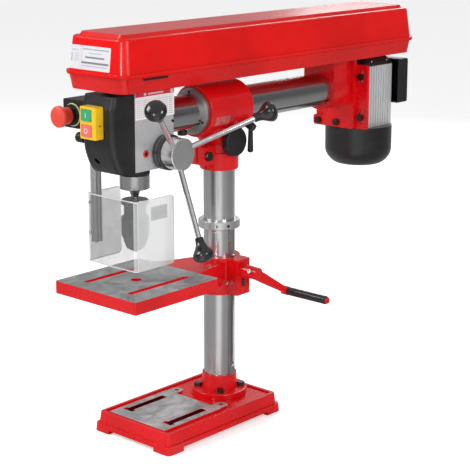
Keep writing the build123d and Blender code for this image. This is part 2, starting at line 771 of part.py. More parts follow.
with BuildPart() as scale_ring:
    ring_front_y = sleeve_front_y - scale_ring_width - gap
    with BuildSketch(Plane(origin=(0, ring_front_y, ram_z), x_dir=(1, 0, 0), z_dir=(0, 1, 0))):
        Circle(scale_ring_r)
        Circle(tilt_sleeve_r, mode=Mode.SUBTRACT)
    extrude(amount=scale_ring_width)
save(scale_ring.part, "scale_ring")

# ================================================================ ram with the head and motor
ram_front_y = column_y - ram_front
ram_rear_y = column_y + ram_rear
ram_length = ram_rear_y - ram_front_y
with BuildPart() as ram:
    with BuildSketch(Plane(origin=(0, ram_front_y, ram_z), x_dir=(1, 0, 0), z_dir=(0, 1, 0))):
        Circle(ram_r)
        Circle(ram_r - ram_wall, mode=Mode.SUBTRACT)
    extrude(amount=ram_length)
    keyway_root = Vector(0, ram_front_y, ram_z) + key_dir * (ram_r - ram_key_depth)
    with BuildSketch(Plane(origin=keyway_root, x_dir=(0, 1, 0), z_dir=key_dir)):
        Rectangle(ram_length, ram_key_width, align=(Align.MIN, Align.CENTER))
    extrude(amount=6, mode=Mode.SUBTRACT)
    with BuildSketch(Plane(origin=(0, sleeve_front_y - 29, ram_z), z_dir=(0, 0, -1))):
        Circle(4)
    extrude(amount=ram_r + 1, mode=Mode.SUBTRACT)
save(ram.part, "ram")

with BuildPart() as ram_stop_screw:
    stop_y = sleeve_front_y - 29
    with BuildSketch(Plane(origin=(0, stop_y, ram_z - ram_r), z_dir=(0, 0, -1))):
        Circle(9)
    extrude(amount=9)
    fillet(ram_stop_screw.faces().sort_by(Axis.Z)[0].edges(), 1.5)
    with BuildSketch(Plane(origin=(0, stop_y, ram_z - ram_r), z_dir=(0, 0, 1))):
        Circle(4)
    extrude(amount=ram_wall)
save(ram_stop_screw.part, "ram_stop_screw")

# Head casting: quill bore, feed shaft bore, ram socket and pulley bearing seat.
head_length = head_rear_y - head_front_y
with BuildPart() as head_casting:
    with BuildSketch(Plane.YZ.offset(-head_half_width)):
        with BuildLine():
            Polyline(
                (head_front_y, head_bottom),
                (head_rear_y - 25, head_bottom),
                (head_rear_y, head_bottom + 47),
                (head_rear_y, head_top),
                (head_front_y, head_top),
                close=True,
            )
        make_face()
    extrude(amount=2 * head_half_width)
    fillet(head_casting.edges().filter_by(Axis.Z).group_by(Axis.Y)[-1], 6)
    with BuildSketch(Plane.YZ.offset(head_half_width)):
        with Locations((feed_axis_y, feed_axis_z)):
            Circle(depth_ring_r - 2)
    extrude(amount=1.5)
    with BuildSketch(Plane.XY.offset(head_bottom)):
        with Locations((0, spindle_y)):
            Circle(quill_r + run_gap)
    extrude(amount=quill_top + 12 - head_bottom, mode=Mode.SUBTRACT)
    with BuildSketch(Plane.XY.offset(head_bottom)):
        with Locations((0, spindle_y)):
            Circle(21)
    extrude(amount=head_top - head_bottom, mode=Mode.SUBTRACT)
    with BuildSketch(Plane(origin=(0, head_rear_y, ram_z), x_dir=(1, 0, 0), z_dir=(0, -1, 0))):
        Circle(ram_r)
    extrude(amount=head_rear_y - ram_front_y, mode=Mode.SUBTRACT)
    with BuildSketch(Plane.YZ.offset(-head_half_width)):
        with Locations((feed_axis_y, feed_axis_z)):
            Circle(feed_gear_r + gear_module + run_gap)
    extrude(amount=head_half_width + 12, mode=Mode.SUBTRACT)
    with BuildSketch(Plane.YZ.offset(-head_half_width)):
        with Locations((feed_axis_y, feed_axis_z)):
            Circle(feed_shaft_r + run_gap)
    extrude(amount=2 * head_half_width + 5, mode=Mode.SUBTRACT)
    with BuildSketch(Plane.YZ.offset(head_half_width)):
        with Locations((head_rear_y - 7, ram_z - 1)):
            Circle(2.5)
    extrude(amount=-8, mode=Mode.SUBTRACT)
save(head_casting.part, "head_casting")

# Front cover: a bulged shell whose lower front tapers back.
with BuildPart() as head_cover:
    with BuildSketch(Plane.YZ.offset(-head_half_width + 0.5)):
        with BuildLine():
            Line((head_front_y, head_bottom), (head_front_y, head_top - 8))
            Line((head_front_y, head_top - 8), (cover_front_y + 6, head_top - 8))
            Line((cover_front_y + 6, head_top - 8), (cover_front_y, head_top - 30))
            Line((cover_front_y, head_top - 30), (cover_front_y + 2, head_bottom + 52))
            Spline(
                (cover_front_y + 2, head_bottom + 52),
                (cover_front_y + 9, head_bottom + 24),
                (cover_front_y + 24, head_bottom),
                tangents=((0.05, -1), (0.75, -0.65)),
            )
            Line((cover_front_y + 24, head_bottom), (head_front_y, head_bottom))
        make_face()
    extrude(amount=2 * head_half_width - 1)
    front_edges = head_cover.edges().filter_by(
        lambda e: e.bounding_box().size.X < 0.01 and e.center().Y < cover_front_y + 25 and e.length > 20
    )
    fillet(front_edges, 13)
    offset(amount=-2.5, openings=head_cover.faces().sort_by(Axis.Y)[-1])
    with BuildSketch(Plane(origin=(-8, cover_front_y, head_bottom + 22), x_dir=(1, 0, 0), z_dir=(0, -1, 0))):
        SlotOverall(13, 7, rotation=-35)
    extrude(amount=-22, mode=Mode.SUBTRACT)
save(head_cover.part, "head_cover")

# Push-button switch: a box with two sunk buttons.
switch_width, switch_height, switch_depth = 40.0, 57.0, 18.0
switch_z = 610.0
switch_front = cover_front_y - switch_depth
button_size = (25.0, 20.0)
button_depth = 6.0
button_z = (switch_z + 13.5, switch_z - 13.5)
with BuildPart() as switch_box:
    with BuildSketch(Plane(origin=(0, cover_front_y, switch_z), x_dir=(1, 0, 0), z_dir=(0, -1, 0))):
        RectangleRounded(switch_width, switch_height, 3)
    extrude(amount=switch_depth)
    fillet(switch_box.faces().sort_by(Axis.Y)[0].edges(), 1.5)
    for z in button_z:
        with BuildSketch(Plane(origin=(-3, switch_front, z), x_dir=(1, 0, 0), z_dir=(0, 1, 0))):
            Rectangle(button_size[0] + 2 * gap, button_size[1] + 2 * gap)
        extrude(amount=button_depth + 5, mode=Mode.SUBTRACT)
save(switch_box.part, "switch_box")


def push_button(z, label):
    """A rectangular push button that stands 2 mm out of the switch box."""
    with BuildPart() as button:
        with BuildSketch(Plane(origin=(-3, switch_front - 2, z), x_dir=(1, 0, 0), z_dir=(0, 1, 0))):
            Rectangle(*button_size)
        extrude(amount=button_depth + 2)
        fillet(button.faces().sort_by(Axis.Y)[0].edges(), 1)
    save(button.part, label)


push_button(button_z[0], "start_button")
push_button(button_z[1], "stop_button")

# Emergency stop box on the head's left side, with the ear that carries the guard pivot.
estop_x, estop_z = -74.0, 613.0
estop_front = head_front_y - 41.0
estop_rear = head_front_y + 9.0
pivot_y = head_front_y - 8.0
pivot_z = 566.0
ear_thickness = 4.0
with BuildPart() as estop_box:
    with BuildSketch(Plane(origin=(0, estop_rear, 0), x_dir=(1, 0, 0), z_dir=(0, -1, 0))):
        with Locations(((-99 - head_half_width) / 2, 614.5)):
            RectangleRounded(99 - head_half_width, 51, 3)
    extrude(amount=estop_rear - estop_front)
    with BuildSketch(Plane.YZ.offset(-head_half_width)):
        with Locations(((estop_front + estop_rear) / 2, 572)):
            Rectangle(estop_rear - estop_front - 8, 46)
    extrude(amount=-ear_thickness)
    with BuildSketch(Plane(origin=(estop_x, estop_front, estop_z), x_dir=(1, 0, 0), z_dir=(0, -1, 0))):
        Circle(19)
    extrude(amount=4)
    with BuildSketch(Plane(origin=(estop_x, estop_front, estop_z), x_dir=(1, 0, 0), z_dir=(0, -1, 0))):
        Circle(14)
    extrude(amount=16)
    with BuildSketch(Plane(origin=(estop_x, estop_front - 16, estop_z), x_dir=(1, 0, 0), z_dir=(0, 1, 0))):
        Circle(7 + run_gap)
    extrude(amount=40, mode=Mode.SUBTRACT)
    with BuildSketch(Plane.YZ.offset(-head_half_width)):
        with Locations((pivot_y, pivot_z)):
            Circle(6 + run_gap)
    extrude(amount=-ear_thickness, mode=Mode.SUBTRACT)
save(estop_box.part, "estop_box")

with BuildPart() as estop_button:
    button_face = estop_front - 38
    with BuildSketch(Plane(origin=(estop_x, button_face, estop_z), x_dir=(1, 0, 0), z_dir=(0, 1, 0))):
        Circle(19)
    extrude(amount=9)
    fillet(estop_button.faces().sort_by(Axis.Y)[0].edges(), 4)
    with BuildSketch(Plane(origin=(estop_x, button_face + 8, estop_z), x_dir=(1, 0, 0), z_dir=(0, 1, 0))):
        Circle(13)
    extrude(amount=7, taper=8)
    with BuildSketch(Plane(origin=(estop_x, button_face + 8, estop_z), x_dir=(1, 0, 0), z_dir=(0, 1, 0))):
        Circle(7)
    extrude(amount=30)
save(estop_button.part, "estop_button")

# Quill return spring in its cap on the head's left side.
cap_depth = 18.0
cap_r = 26.0
with BuildPart() as spring_cap:
    with BuildSketch(Plane.YZ.offset(-head_half_width)):
        with Locations((feed_axis_y, feed_axis_z)):
            Circle(cap_r)
    extrude(amount=-cap_depth)
    fillet(spring_cap.faces().sort_by(Axis.X)[0].edges(), 3)
    with BuildSketch(Plane.YZ.offset(-head_half_width)):
        with Locations((feed_axis_y, feed_axis_z)):
            Circle(cap_r - 3)
    extrude(amount=-cap_depth + 3, mode=Mode.SUBTRACT)
save(spring_cap.part, "spring_cap")

with BuildPart() as return_spring:
    with BuildSketch(Plane.YZ.offset(-head_half_width - 3)):
        with BuildLine() as coil:
            turns = 3
            inner, step = 9.5, 3.6
            last = None
            for half in range(2 * turns):
                radius = inner + half * step / 2
                shift = 0 if half % 2 == 0 else step / 2
                start, size = (0, 180) if half % 2 == 0 else (180, 180)
                centre = (feed_axis_y - shift + step / 4, feed_axis_z)
                CenterArc(centre, radius + step / 4, start, size)
        trace(line_width=0.8)
    extrude(amount=-9)
save(return_spring.part, "return_spring")

# ---------------------------------------------------------------- quill and spindle
with BuildPart() as quill:
    with BuildSketch(Plane.XY.offset(quill_bottom)):
        with Locations((0, spindle_y)):
            Circle(quill_r)
    extrude(amount=quill_top - quill_bottom)
    with BuildSketch(Plane.XY.offset(quill_bottom)):
        with Locations((0, spindle_y)):
            Circle(quill_collar_r)
    extrude(amount=quill_collar_top - quill_bottom)
    chamfer(quill.edges().filter_by(GeomType.CIRCLE).group_by(SortBy.RADIUS)[-1], 1)
    # rack teeth along the back
    with BuildSketch(Plane.YZ.offset(-10.4)):
        with BuildLine():
            tooth_z0 = feed_axis_z - 5 * gear_pitch
            half = gear_pitch / 4 + gear_backlash / 2
            lean = tan(radians(20))
            reach = [quill_rack_y - 1.25 * gear_module - spindle_y, quill_r + 1]
            corners = []
            for tooth in range(18):
                z = tooth_z0 + (tooth + 0.5) * gear_pitch
                deep = half - 1.25 * gear_module * lean
                wide = half + (reach[1] + spindle_y - quill_rack_y) * lean
                corners.append((z, deep, wide))
            first = corners[0]
        for z, deep, wide in corners:
            with BuildLine():
                Polyline(
                    (spindle_y + reach[0], z - deep),
                    (spindle_y + reach[1], z - wide),
                    (spindle_y + reach[1], z + wide),
                    (spindle_y + reach[0], z + deep),
                    close=True,
                )
            make_face()
    extrude(amount=20.8, mode=Mode.SUBTRACT)
    # bearing seats and the free bore between them
    with BuildSketch(Plane.XY.offset(quill_bottom)):
        with Locations((0, spindle_y)):
            Circle(13)
    extrude(amount=quill_top - quill_bottom, mode=Mode.SUBTRACT)
    for z in (quill_bottom, quill_top - bearing_width - 3):
        with BuildSketch(Plane.XY.offset(z)):
            with Locations((0, spindle_y)):
                Circle(bearing_r)
        extrude(amount=bearing_width + 3, mode=Mode.SUBTRACT)
save(quill.part, "quill")

bearing_z = (quill_bottom + 3, quill_top - bearing_width - 3)
with BuildPart() as quill_bearings:
    for z in bearing_z:
        with BuildSketch(Plane.XY.offset(z)):
            with Locations((0, spindle_y)):
                Circle(bearing_r)
                Circle(bearing_bore + run_gap, mode=Mode.SUBTRACT)
        extrude(amount=bearing_width)
save(quill_bearings.part, "quill_bearings")

spline_r = 7.0
spindle_top = pulley_bottom + 5 * pulley_step + 4
spline_count = 6
with BuildPart() as spindle:
    with BuildSketch(Plane.XZ.offset(-spindle_y)):
        with BuildLine():
            Polyline(
                (0, chuck_top - 28),
                (6, chuck_top - 28),
                (6.5, chuck_top + 5),
                (7, chuck_top + 7),
                (11, quill_bottom - 2),
                (11, quill_bottom + 3 - gap),
                (bearing_bore, quill_bottom + 3 - gap),
                (bearing_bore, quill_top + 4),
                (spline_r, quill_top + 4),
                (spline_r, spindle_top - 1),
                (spline_r - 1, spindle_top),
                (0, spindle_top),
                close=True,
            )
        make_face()
    revolve(axis=Axis((0, spindle_y, 0), (0, 0, 1)))
    with BuildSketch(Plane.XY.offset(quill_top + 10)):
        with Locations((0, spindle_y)):
            with PolarLocations(spline_r + 0.5, spline_count):
                Rectangle(3, 3)
    extrude(amount=spindle_top - 1 - quill_top - 10)
save(spindle.part, "spindle")

# ---------------------------------------------------------------- chuck
sleeve_low = chuck_bottom + 3
sleeve_high = chuck_top - 31.5
body_r = 20.0
with BuildPart() as chuck_body:
    with BuildSketch(Plane.XZ.offset(-spindle_y)):
        with BuildLine():
            Polyline(
                (0, chuck_top),
                (chuck_r - 1.5, chuck_top),
                (chuck_r, chuck_top - 1.5),
                (chuck_r, chuck_top - 8),
                (body_r, chuck_top - 10),
                (body_r, chuck_bottom + 22),
                (12, chuck_bottom),
                (0, chuck_bottom),
                close=True,
            )
        make_face()
    revolve(axis=Axis((0, spindle_y, 0), (0, 0, 1)))
    with BuildSketch(Plane.XZ.offset(-spindle_y)):
        with BuildLine():
            Polyline(
                (0, chuck_top),
                (6.6, chuck_top),
                (6.0, chuck_top - 28 - gap),
                (0, chuck_top - 28 - gap),
                close=True,
            )
        make_face()
    revolve(axis=Axis((0, spindle_y, 0), (0, 0, 1)), mode=Mode.SUBTRACT)
    with BuildSketch(Plane.XY.offset(chuck_bottom)):
        with Locations((0, spindle_y)):
            Circle(7)
    extrude(amount=34, mode=Mode.SUBTRACT)
    for jaw in range(3):
        turn = radians(120 * jaw + 90)
        slope = tan(radians(jaw_cone_deg))
        lean_dir = Vector(slope * cos(turn), slope * sin(turn), 1).normalized()
        low = Vector(3.2 * cos(turn), spindle_y + 3.2 * sin(turn), chuck_bottom - 4)
        with BuildSketch(Plane(origin=low, z_dir=lean_dir)):
            Circle(jaw_r + 0.15)
        extrude(amount=52, mode=Mode.SUBTRACT)
save(chuck_body.part, "chuck_body")

with BuildPart() as chuck_sleeve:
    with BuildSketch(Plane.XZ.offset(-spindle_y)):
        with BuildLine():
            Polyline(
                (body_r + gap, sleeve_high),
                (chuck_r, sleeve_high),
                (chuck_r, chuck_bottom + 27),
                (chuck_r - 2, chuck_bottom + 22),
                (16.5, sleeve_low),
                (13.9, sleeve_low),
                (body_r + gap, chuck_bottom + 21),
                close=True,
            )
        make_face()
    revolve(axis=Axis((0, spindle_y, 0), (0, 0, 1)))
save(chuck_sleeve.part, "chuck_sleeve")

for jaw in range(3):
    turn = radians(120 * jaw + 90)
    slope = tan(radians(jaw_cone_deg))
    lean_dir = Vector(slope * cos(turn), slope * sin(turn), 1).normalized()
    low = Vector(3.2 * cos(turn), spindle_y + 3.2 * sin(turn), chuck_bottom - 4)
    with BuildPart() as chuck_jaw:
        with BuildSketch(Plane(origin=low, z_dir=lean_dir)):
            Circle(jaw_r)
        extrude(amount=26)
    save(chuck_jaw.part, f"chuck_jaw_{jaw + 1}")

# ---------------------------------------------------------------- feed shaft, hub, spokes and knobs
hub_start = head_half_width + 1.5 + gap
with BuildPart() as feed_shaft:
    with BuildSketch(Plane(origin=(-10, feed_axis_y, feed_axis_z), x_dir=(0, 1, 0), z_dir=(1, 0, 0))):
        with BuildLine():
            Polyline(*gear_outline(feed_gear_teeth, 180 + 180 / feed_gear_teeth), close=True)
        make_face()
    extrude(amount=20)
    with BuildSketch(Plane.YZ.offset(-head_half_width - 14)):
        with Locations((feed_axis_y, feed_axis_z)):
            Circle(feed_shaft_r)
    extrude(amount=head_half_width + 14 + 80)
save(feed_shaft.part, "feed_shaft")

spoke_turns = [radians(spoke_start_deg + 120 * k) for k in range(3)]
hub_step = 59.0


def spoke_frame(turn, along):
    """Point and direction on one spoke's axis, along millimetres from the hub's axis."""
    lean = radians(spoke_cone_deg)
    way = Vector(sin(lean), cos(lean) * cos(turn), cos(lean) * sin(turn))
    return Vector(spoke_root_x, feed_axis_y, feed_axis_z) + way * along, way


with BuildPart() as feed_hub:
    with BuildSketch(Plane.YZ.offset(hub_start)):
        with Locations((feed_axis_y, feed_axis_z)):
            Circle(24)
    extrude(amount=hub_step - hub_start)
    with BuildSketch(Plane.YZ.offset(hub_step)):
        with Locations((feed_axis_y, feed_axis_z)):
            Circle(feed_hub_r)
    extrude(amount=feed_hub_end - hub_step)
    chamfer(feed_hub.edges().filter_by(GeomType.CIRCLE).group_by(SortBy.RADIUS)[-1], 1)
    with BuildSketch(Plane.YZ.offset(hub_start)):
        with Locations((feed_axis_y, feed_axis_z)):
            Circle(feed_shaft_r)
    extrude(amount=80 - hub_start, mode=Mode.SUBTRACT)
    for turn in spoke_turns:
        point, way = spoke_frame(turn, 14)
        with BuildSketch(Plane(origin=point, z_dir=way)):
            Circle(spoke_r)
        extrude(amount=40, mode=Mode.SUBTRACT)
save(feed_hub.part, "feed_hub")

with BuildPart() as depth_ring:
    with BuildSketch(Plane.YZ.offset(hub_start)):
        with Locations((feed_axis_y, feed_axis_z)):
            Circle(depth_ring_r)
            Circle(24 + run_gap, mode=Mode.SUBTRACT)
    extrude(amount=hub_step - gap - hub_start)
    chamfer(depth_ring.edges().filter_by(GeomType.CIRCLE).group_by(SortBy.RADIUS)[-1], 0.8)
save(depth_ring.part, "depth_ring")

with BuildPart() as feed_spokes:
    for turn in spoke_turns:
        point, way = spoke_frame(turn, 14)
        with BuildSketch(Plane(origin=point, z_dir=way)):
            Circle(spoke_r)
        extrude(amount=spoke_reach - 6 - 14)
save(feed_spokes.part, "feed_spokes")

# Mushroom knob: a slim neck that flares into a rounded head.
with BuildPart() as feed_knobs:
    for turn in spoke_turns:
        point, way = spoke_frame(turn, spoke_reach - knob_length / 2)
        side = way.cross(Vector(1, 0, 0)).normalized()
        with BuildSketch(Plane(origin=point, x_dir=side, z_dir=side.cross(way))):
            with BuildLine():
                Line((0, 0), (7.5, 0))
                Spline(
                    (7.5, 0),
                    (9.5, 13),
                    (knob_r, 31),
                    (0, knob_length),
                    tangents=((0, 1), (-1, 0)),
                )
                Line((0, knob_length), (0, 0))
            make_face()
        revolve(axis=Axis(point, way))
    for turn in spoke_turns:
        point, way = spoke_frame(turn, 14)
        with BuildSketch(Plane(origin=point, z_dir=way)):
            Circle(spoke_r)
        extrude(amount=spoke_reach - 6 - 14, mode=Mode.SUBTRACT)
save(feed_knobs.part, "feed_knobs")

# ---------------------------------------------------------------- chuck guard
rail_x = -54.0
rail_half = 7.0
rail_top, rail_bottom = 585.0, 380.0
guard_top, guard_bottom = 471.0, 345.0
guard_front_y = spindle_y - 59.0
guard_left_rear_y = spindle_y + 23.0
guard_right_rear_y = spindle_y + 37.0
guard_wall = 2.5
holder_left = -68.0
holder_right = -head_half_width - ear_thickness - gap
with BuildPart() as guard_holder:
    with BuildSketch(Plane.XY.offset(pivot_z - 13)):
        with Locations(((holder_left + holder_right) / 2, pivot_y)):
            RectangleRounded(holder_right - holder_left, 2 * rail_half + 12, 2)
    extrude(amount=26)
    with BuildSketch(Plane.XY.offset(pivot_z - 13)):
        with Locations((rail_x, pivot_y)):
            Rectangle(2 * (rail_half + gap), 2 * (rail_half + gap))
    extrude(amount=26, mode=Mode.SUBTRACT)
    with BuildSketch(Plane.YZ.offset(holder_right)):
        with Locations((pivot_y, pivot_z)):
            Circle(6)
    extrude(amount=gap + ear_thickness)
    with BuildSketch(Plane.YZ.offset(holder_left)):
        with Locations((pivot_y, pivot_z)):
            Circle(3 + run_gap)
    extrude(amount=10, mode=Mode.SUBTRACT)
save(guard_holder.part, "guard_holder")

with BuildPart() as guard_knob:
    with BuildSketch(Plane.YZ.offset(-68 - gap)):
        with Locations((pivot_y, pivot_z)):
            Circle(6)
    extrude(amount=-10)
    with BuildSketch(Plane.YZ.offset(-78)):
        with Locations((pivot_y, pivot_z)):
            Circle(9.5)
    extrude(amount=-20)
    fillet(guard_knob.faces().sort_by(Axis.X)[0].edges(), 2)
    with BuildSketch(Plane.YZ.offset(-70)):
        with Locations((pivot_y, pivot_z)):
            Circle(3)
    extrude(amount=rail_x - rail_half - gap + 70)
save(guard_knob.part, "guard_knob")

with BuildPart() as guard_rail:
    with BuildSketch(Plane.XY.offset(rail_bottom)):
        with Locations((rail_x, pivot_y)):
            Rectangle(2 * rail_half, 2 * rail_half)
            with Locations((0, -rail_half), (0, rail_half)):
                Rectangle(4, 5, mode=Mode.SUBTRACT)
            with Locations((rail_half, 0)):
                Rectangle(5, 4, mode=Mode.SUBTRACT)
    extrude(amount=rail_top - rail_bottom)
save(guard_rail.part, "guard_rail")

left_x = rail_x - rail_half
right_x = 62.0
with BuildPart() as chuck_guard:
    with BuildSketch(Plane.XY.offset(guard_bottom)):
        with BuildLine():
            FilletPolyline(
                (left_x - guard_wall, guard_left_rear_y),
                (left_x - guard_wall, guard_front_y),
                (right_x, guard_front_y),
                (right_x, guard_right_rear_y),
                radius=7,
            )
            FilletPolyline(
                (left_x, guard_left_rear_y),
                (left_x, guard_front_y + guard_wall),
                (right_x - guard_wall, guard_front_y + guard_wall),
                (right_x - guard_wall, guard_right_rear_y),
                radius=7 - guard_wall,
            )
            Line((left_x - guard_wall, guard_left_rear_y), (left_x, guard_left_rear_y))
            Line((right_x - guard_wall, guard_right_rear_y), (right_x, guard_right_rear_y))
        make_face()
    extrude(amount=guard_top - guard_bottom)
    corners = chuck_guard.edges().filter_by(Axis.X).filter_by(lambda e: e.center().Y > guard_left_rear_y - 1)
    fillet(corners, 8)
save(chuck_guard.part, "chuck_guard")

# ---------------------------------------------------------------- belt drive and its housing
housing_length = housing_front + housing_rear
housing_mid_y = column_y + (housing_rear - housing_front) / 2


def housing_outline(inset):
    """The belt housing's plan outline, drawn inside the lip by inset."""
    with Locations((0, housing_mid_y)):
        RectangleRounded(2 * (lip_half_width - inset), housing_length - 2 * inset, 24 - inset / 2)


with BuildPart() as belt_pan:
    # tray with sloped walls
    with BuildSketch(Plane.XY.offset(pan_bottom)):
        housing_outline(pan_inset)
    with BuildSketch(Plane.XY.offset(seam_z)):
        housing_outline(wall_inset)
    loft()
    # turned-out flange that the lid's lip sits on
    with BuildSketch(Plane.XY.offset(seam_z - sheet)):
        housing_outline(1)
    extrude(amount=sheet)
    with BuildSketch(Plane.XY.offset(pan_bottom + sheet)):
        housing_outline(pan_inset + sheet)
    with BuildSketch(Plane.XY.offset(seam_z)):
        housing_outline(wall_inset + sheet)
    loft(mode=Mode.SUBTRACT)
    # openings for the pulley sleeve and the motor shaft
    with BuildSketch(Plane.XY.offset(pan_bottom)):
        with Locations((0, spindle_y)):
            Circle(pan_hole_r)
        with Locations((0, motor_axis_y)):
            Circle(pan_hole_r)
    extrude(amount=sheet, mode=Mode.SUBTRACT)
save(belt_pan.part, "belt_pan")

# Lid: lip, sloped sides, shoulder and a raised plateau, hinged along its left edge.
with BuildPart() as belt_lid:
    with BuildSketch(Plane.XY.offset(lip_z)):
        housing_outline(0)
    extrude(amount=lip_height)
    with BuildSketch(Plane.XY.offset(lip_z + lip_height)):
        housing_outline(wall_inset)
    with BuildSketch(Plane.XY.offset(shoulder_z)):
        housing_outline(shoulder_inset)
    loft()
    fillet(belt_lid.faces().sort_by(Axis.Z)[-1].edges(), 5)
    with BuildSketch(Plane.XY.offset(shoulder_z)):
        housing_outline(plateau_inset)
    extrude(amount=lid_top - shoulder_z, taper=35)
    with BuildSketch(Plane.XY.offset(lip_z)):
        housing_outline(wall_inset + sheet)
    with BuildSketch(Plane.XY.offset(shoulder_z - sheet)):
        housing_outline(shoulder_inset + 2 * sheet)
    loft(mode=Mode.SUBTRACT)
    with BuildSketch(Plane.XY.offset(shoulder_z - sheet - 1)):
        housing_outline(plateau_inset + 5)
    extrude(amount=lid_top - shoulder_z + 1, mode=Mode.SUBTRACT)
save(belt_lid.part, "belt_lid")


def pulley_outline(radii, bore, hub_low, hub_r):
    """Half section of a five-step V-pulley on a hub, as (radius, height) corners."""
    outline = [(bore, hub_low), (hub_r, hub_low), (hub_r, pulley_bottom)]
    for step, radius in enumerate(radii):
        low = pulley_bottom + step * pulley_step
        high = low + pulley_step
        outline.append((radius, low))
        outline.append((radius, low + rim_land))
        outline.append((radius - groove_depth, low + rim_land + groove_slope))
        outline.append((radius - groove_depth, high - rim_land - groove_slope))
        outline.append((radius, high - rim_land))
        outline.append((radius, high))
    outline.append((bore, pulley_bottom + len(radii) * pulley_step))
    return outline


hub_low = head_top - 23
with BuildPart() as spindle_pulley:
    with BuildSketch(Plane(origin=(0, spindle_y, 0), x_dir=(1, 0, 0), z_dir=(0, -1, 0))):
        with BuildLine():
            profile = pulley_outline(pulley_radii[::-1], spline_r + run_gap, hub_low, pulley_hub_r)
            Polyline(*profile, close=True)
        make_face()
    revolve(axis=Axis((0, spindle_y, 0), (0, 0, 1)))
    with BuildSketch(Plane.XY.offset(hub_low)):
        with Locations((0, spindle_y)):
            with PolarLocations(spline_r + 0.5, spline_count):
                Rectangle(3 + 4 * run_gap, 3 + 4 * run_gap)
    extrude(amount=23 + 100, mode=Mode.SUBTRACT)
save(spindle_pulley.part, "spindle_pulley")

with BuildPart() as motor_pulley:
    with BuildSketch(Plane(origin=(0, motor_axis_y, 0), x_dir=(1, 0, 0), z_dir=(0, -1, 0))):
        with BuildLine():
            Polyline(*pulley_outline(pulley_radii, motor_shaft_r, pulley_bottom - 5, 14), close=True)
        make_face()
    revolve(axis=Axis((0, motor_axis_y, 0), (0, 0, 1)))
save(motor_pulley.part, "motor_pulley")

# V-belt round one pair of steps: the flat sides just clear the groove.
spindle_belt_r = pulley_radii[4 - belt_level] - groove_depth + gap
motor_belt_r = pulley_radii[belt_level] - groove_depth + gap
belt_z = pulley_bottom + (belt_level + 0.5) * pulley_step


def belt_loop(extra):
    """Outline of a loop round both pulleys, extra millimetres outside the belt's inner face."""
    with Locations((0, spindle_y)):
        Circle(spindle_belt_r + extra)
    with Locations((0, motor_axis_y)):
        Circle(motor_belt_r + extra)
    make_hull()


with BuildPart() as drive_belt:
    with BuildSketch(Plane.XY.offset(belt_z - belt_height / 2)):
        belt_loop(belt_thickness)
    extrude(amount=belt_height)
    with BuildSketch(Plane.XY.offset(belt_z - belt_height / 2)):
        belt_loop(0)
    extrude(amount=belt_height, mode=Mode.SUBTRACT)
save(drive_belt.part, "drive_belt")

# ================================================================ motor
# Casting on the ram's rear end: it carries the motor's plate and the rear of the belt housing.
bracket_front_y = column_y + 300
web_plane = Plane(origin=(0, plate_front_y - web_thickness, 0), x_dir=(1, 0, 0), z_dir=(0, -1, 0))
with BuildPart() as motor_bracket:
    with BuildSketch(Plane(origin=(0, bracket_front_y, ram_z), x_dir=(1, 0, 0), z_dir=(0, -1, 0))):
        Circle(ram_r + 9)
        with Locations((0, (pan_bottom - ram_z) / 2)):
            Rectangle(2 * (ram_r + 9) - 6, pan_bottom - ram_z)
    extrude(amount=-(ram_rear_y + 6 - bracket_front_y))
    with BuildSketch(web_plane):
        with Locations((0, (bracket_low + pan_bottom) / 2)):
            RectangleRounded(76, pan_bottom - bracket_low, 5)
    extrude(amount=-web_thickness)
    with BuildSketch(Plane(origin=(0, ram_rear_y, 0), x_dir=(1, 0, 0), z_dir=(0, -1, 0))):
        with Locations((0, (ram_z - ram_r + pan_bottom) / 2)):
            Rectangle(60, pan_bottom - ram_z + ram_r)
    extrude(amount=-(plate_front_y - ram_rear_y))
    with BuildSketch(web_plane):
        with Locations(((strip_left + strip_right) / 2, bracket_low + strip_height / 2)):
            RectangleRounded(strip_right - strip_left, strip_height, 5)
    extrude(amount=-web_thickness)
    with BuildSketch(Plane(origin=(0, bracket_front_y, ram_z), x_dir=(1, 0, 0), z_dir=(0, -1, 0))):
        Circle(ram_r)
    extrude(amount=-(ram_rear_y - bracket_front_y), mode=Mode.SUBTRACT)
    with BuildSketch(Plane(origin=(0, plate_front_y, 0), x_dir=(1, 0, 0), z_dir=(0, -1, 0))):
        with Locations(*plate_bolts_low):
            Circle(4 + bolt_gap)
    extrude(amount=14, mode=Mode.SUBTRACT)
save(motor_bracket.part, "motor_bracket")

with BuildPart() as motor_plate:
    with BuildSketch(Plane(origin=(0, plate_front_y, 0), x_dir=(1, 0, 0), z_dir=(0, -1, 0))):
        with Locations((0, (bracket_low + motor_top + 6) / 2)):
            RectangleRounded(132, motor_top + 6 - bracket_low, 5)
        with Locations(*plate_bolts_low):
            Circle(4 + bolt_gap, mode=Mode.SUBTRACT)
        with Locations(*plate_slots):
            SlotOverall(26, 9, rotation=90, mode=Mode.SUBTRACT)
    extrude(amount=-plate_thickness)
save(motor_plate.part, "motor_plate")

with BuildPart() as motor_bolts:
    with BuildSketch(Plane(origin=(0, plate_front_y, 0), x_dir=(1, 0, 0), z_dir=(0, -1, 0))):
        with Locations(*plate_slots):
            RegularPolygon(6.5, 6, major_radius=False)
    extrude(amount=6)
    with BuildSketch(Plane(origin=(0, plate_front_y, 0), x_dir=(1, 0, 0), z_dir=(0, -1, 0))):
        with Locations(*plate_slots):
            Circle(4)
    extrude(amount=-(plate_thickness + 8))
    with BuildSketch(web_plane):
        with Locations(*plate_bolts_low):
            RegularPolygon(6.5, 6, major_radius=False)
    extrude(amount=6)
    with BuildSketch(web_plane):
        with Locations(*plate_bolts_low):
            Circle(4)
    extrude(amount=-20)
save(motor_bolts.part, "motor_bolts")

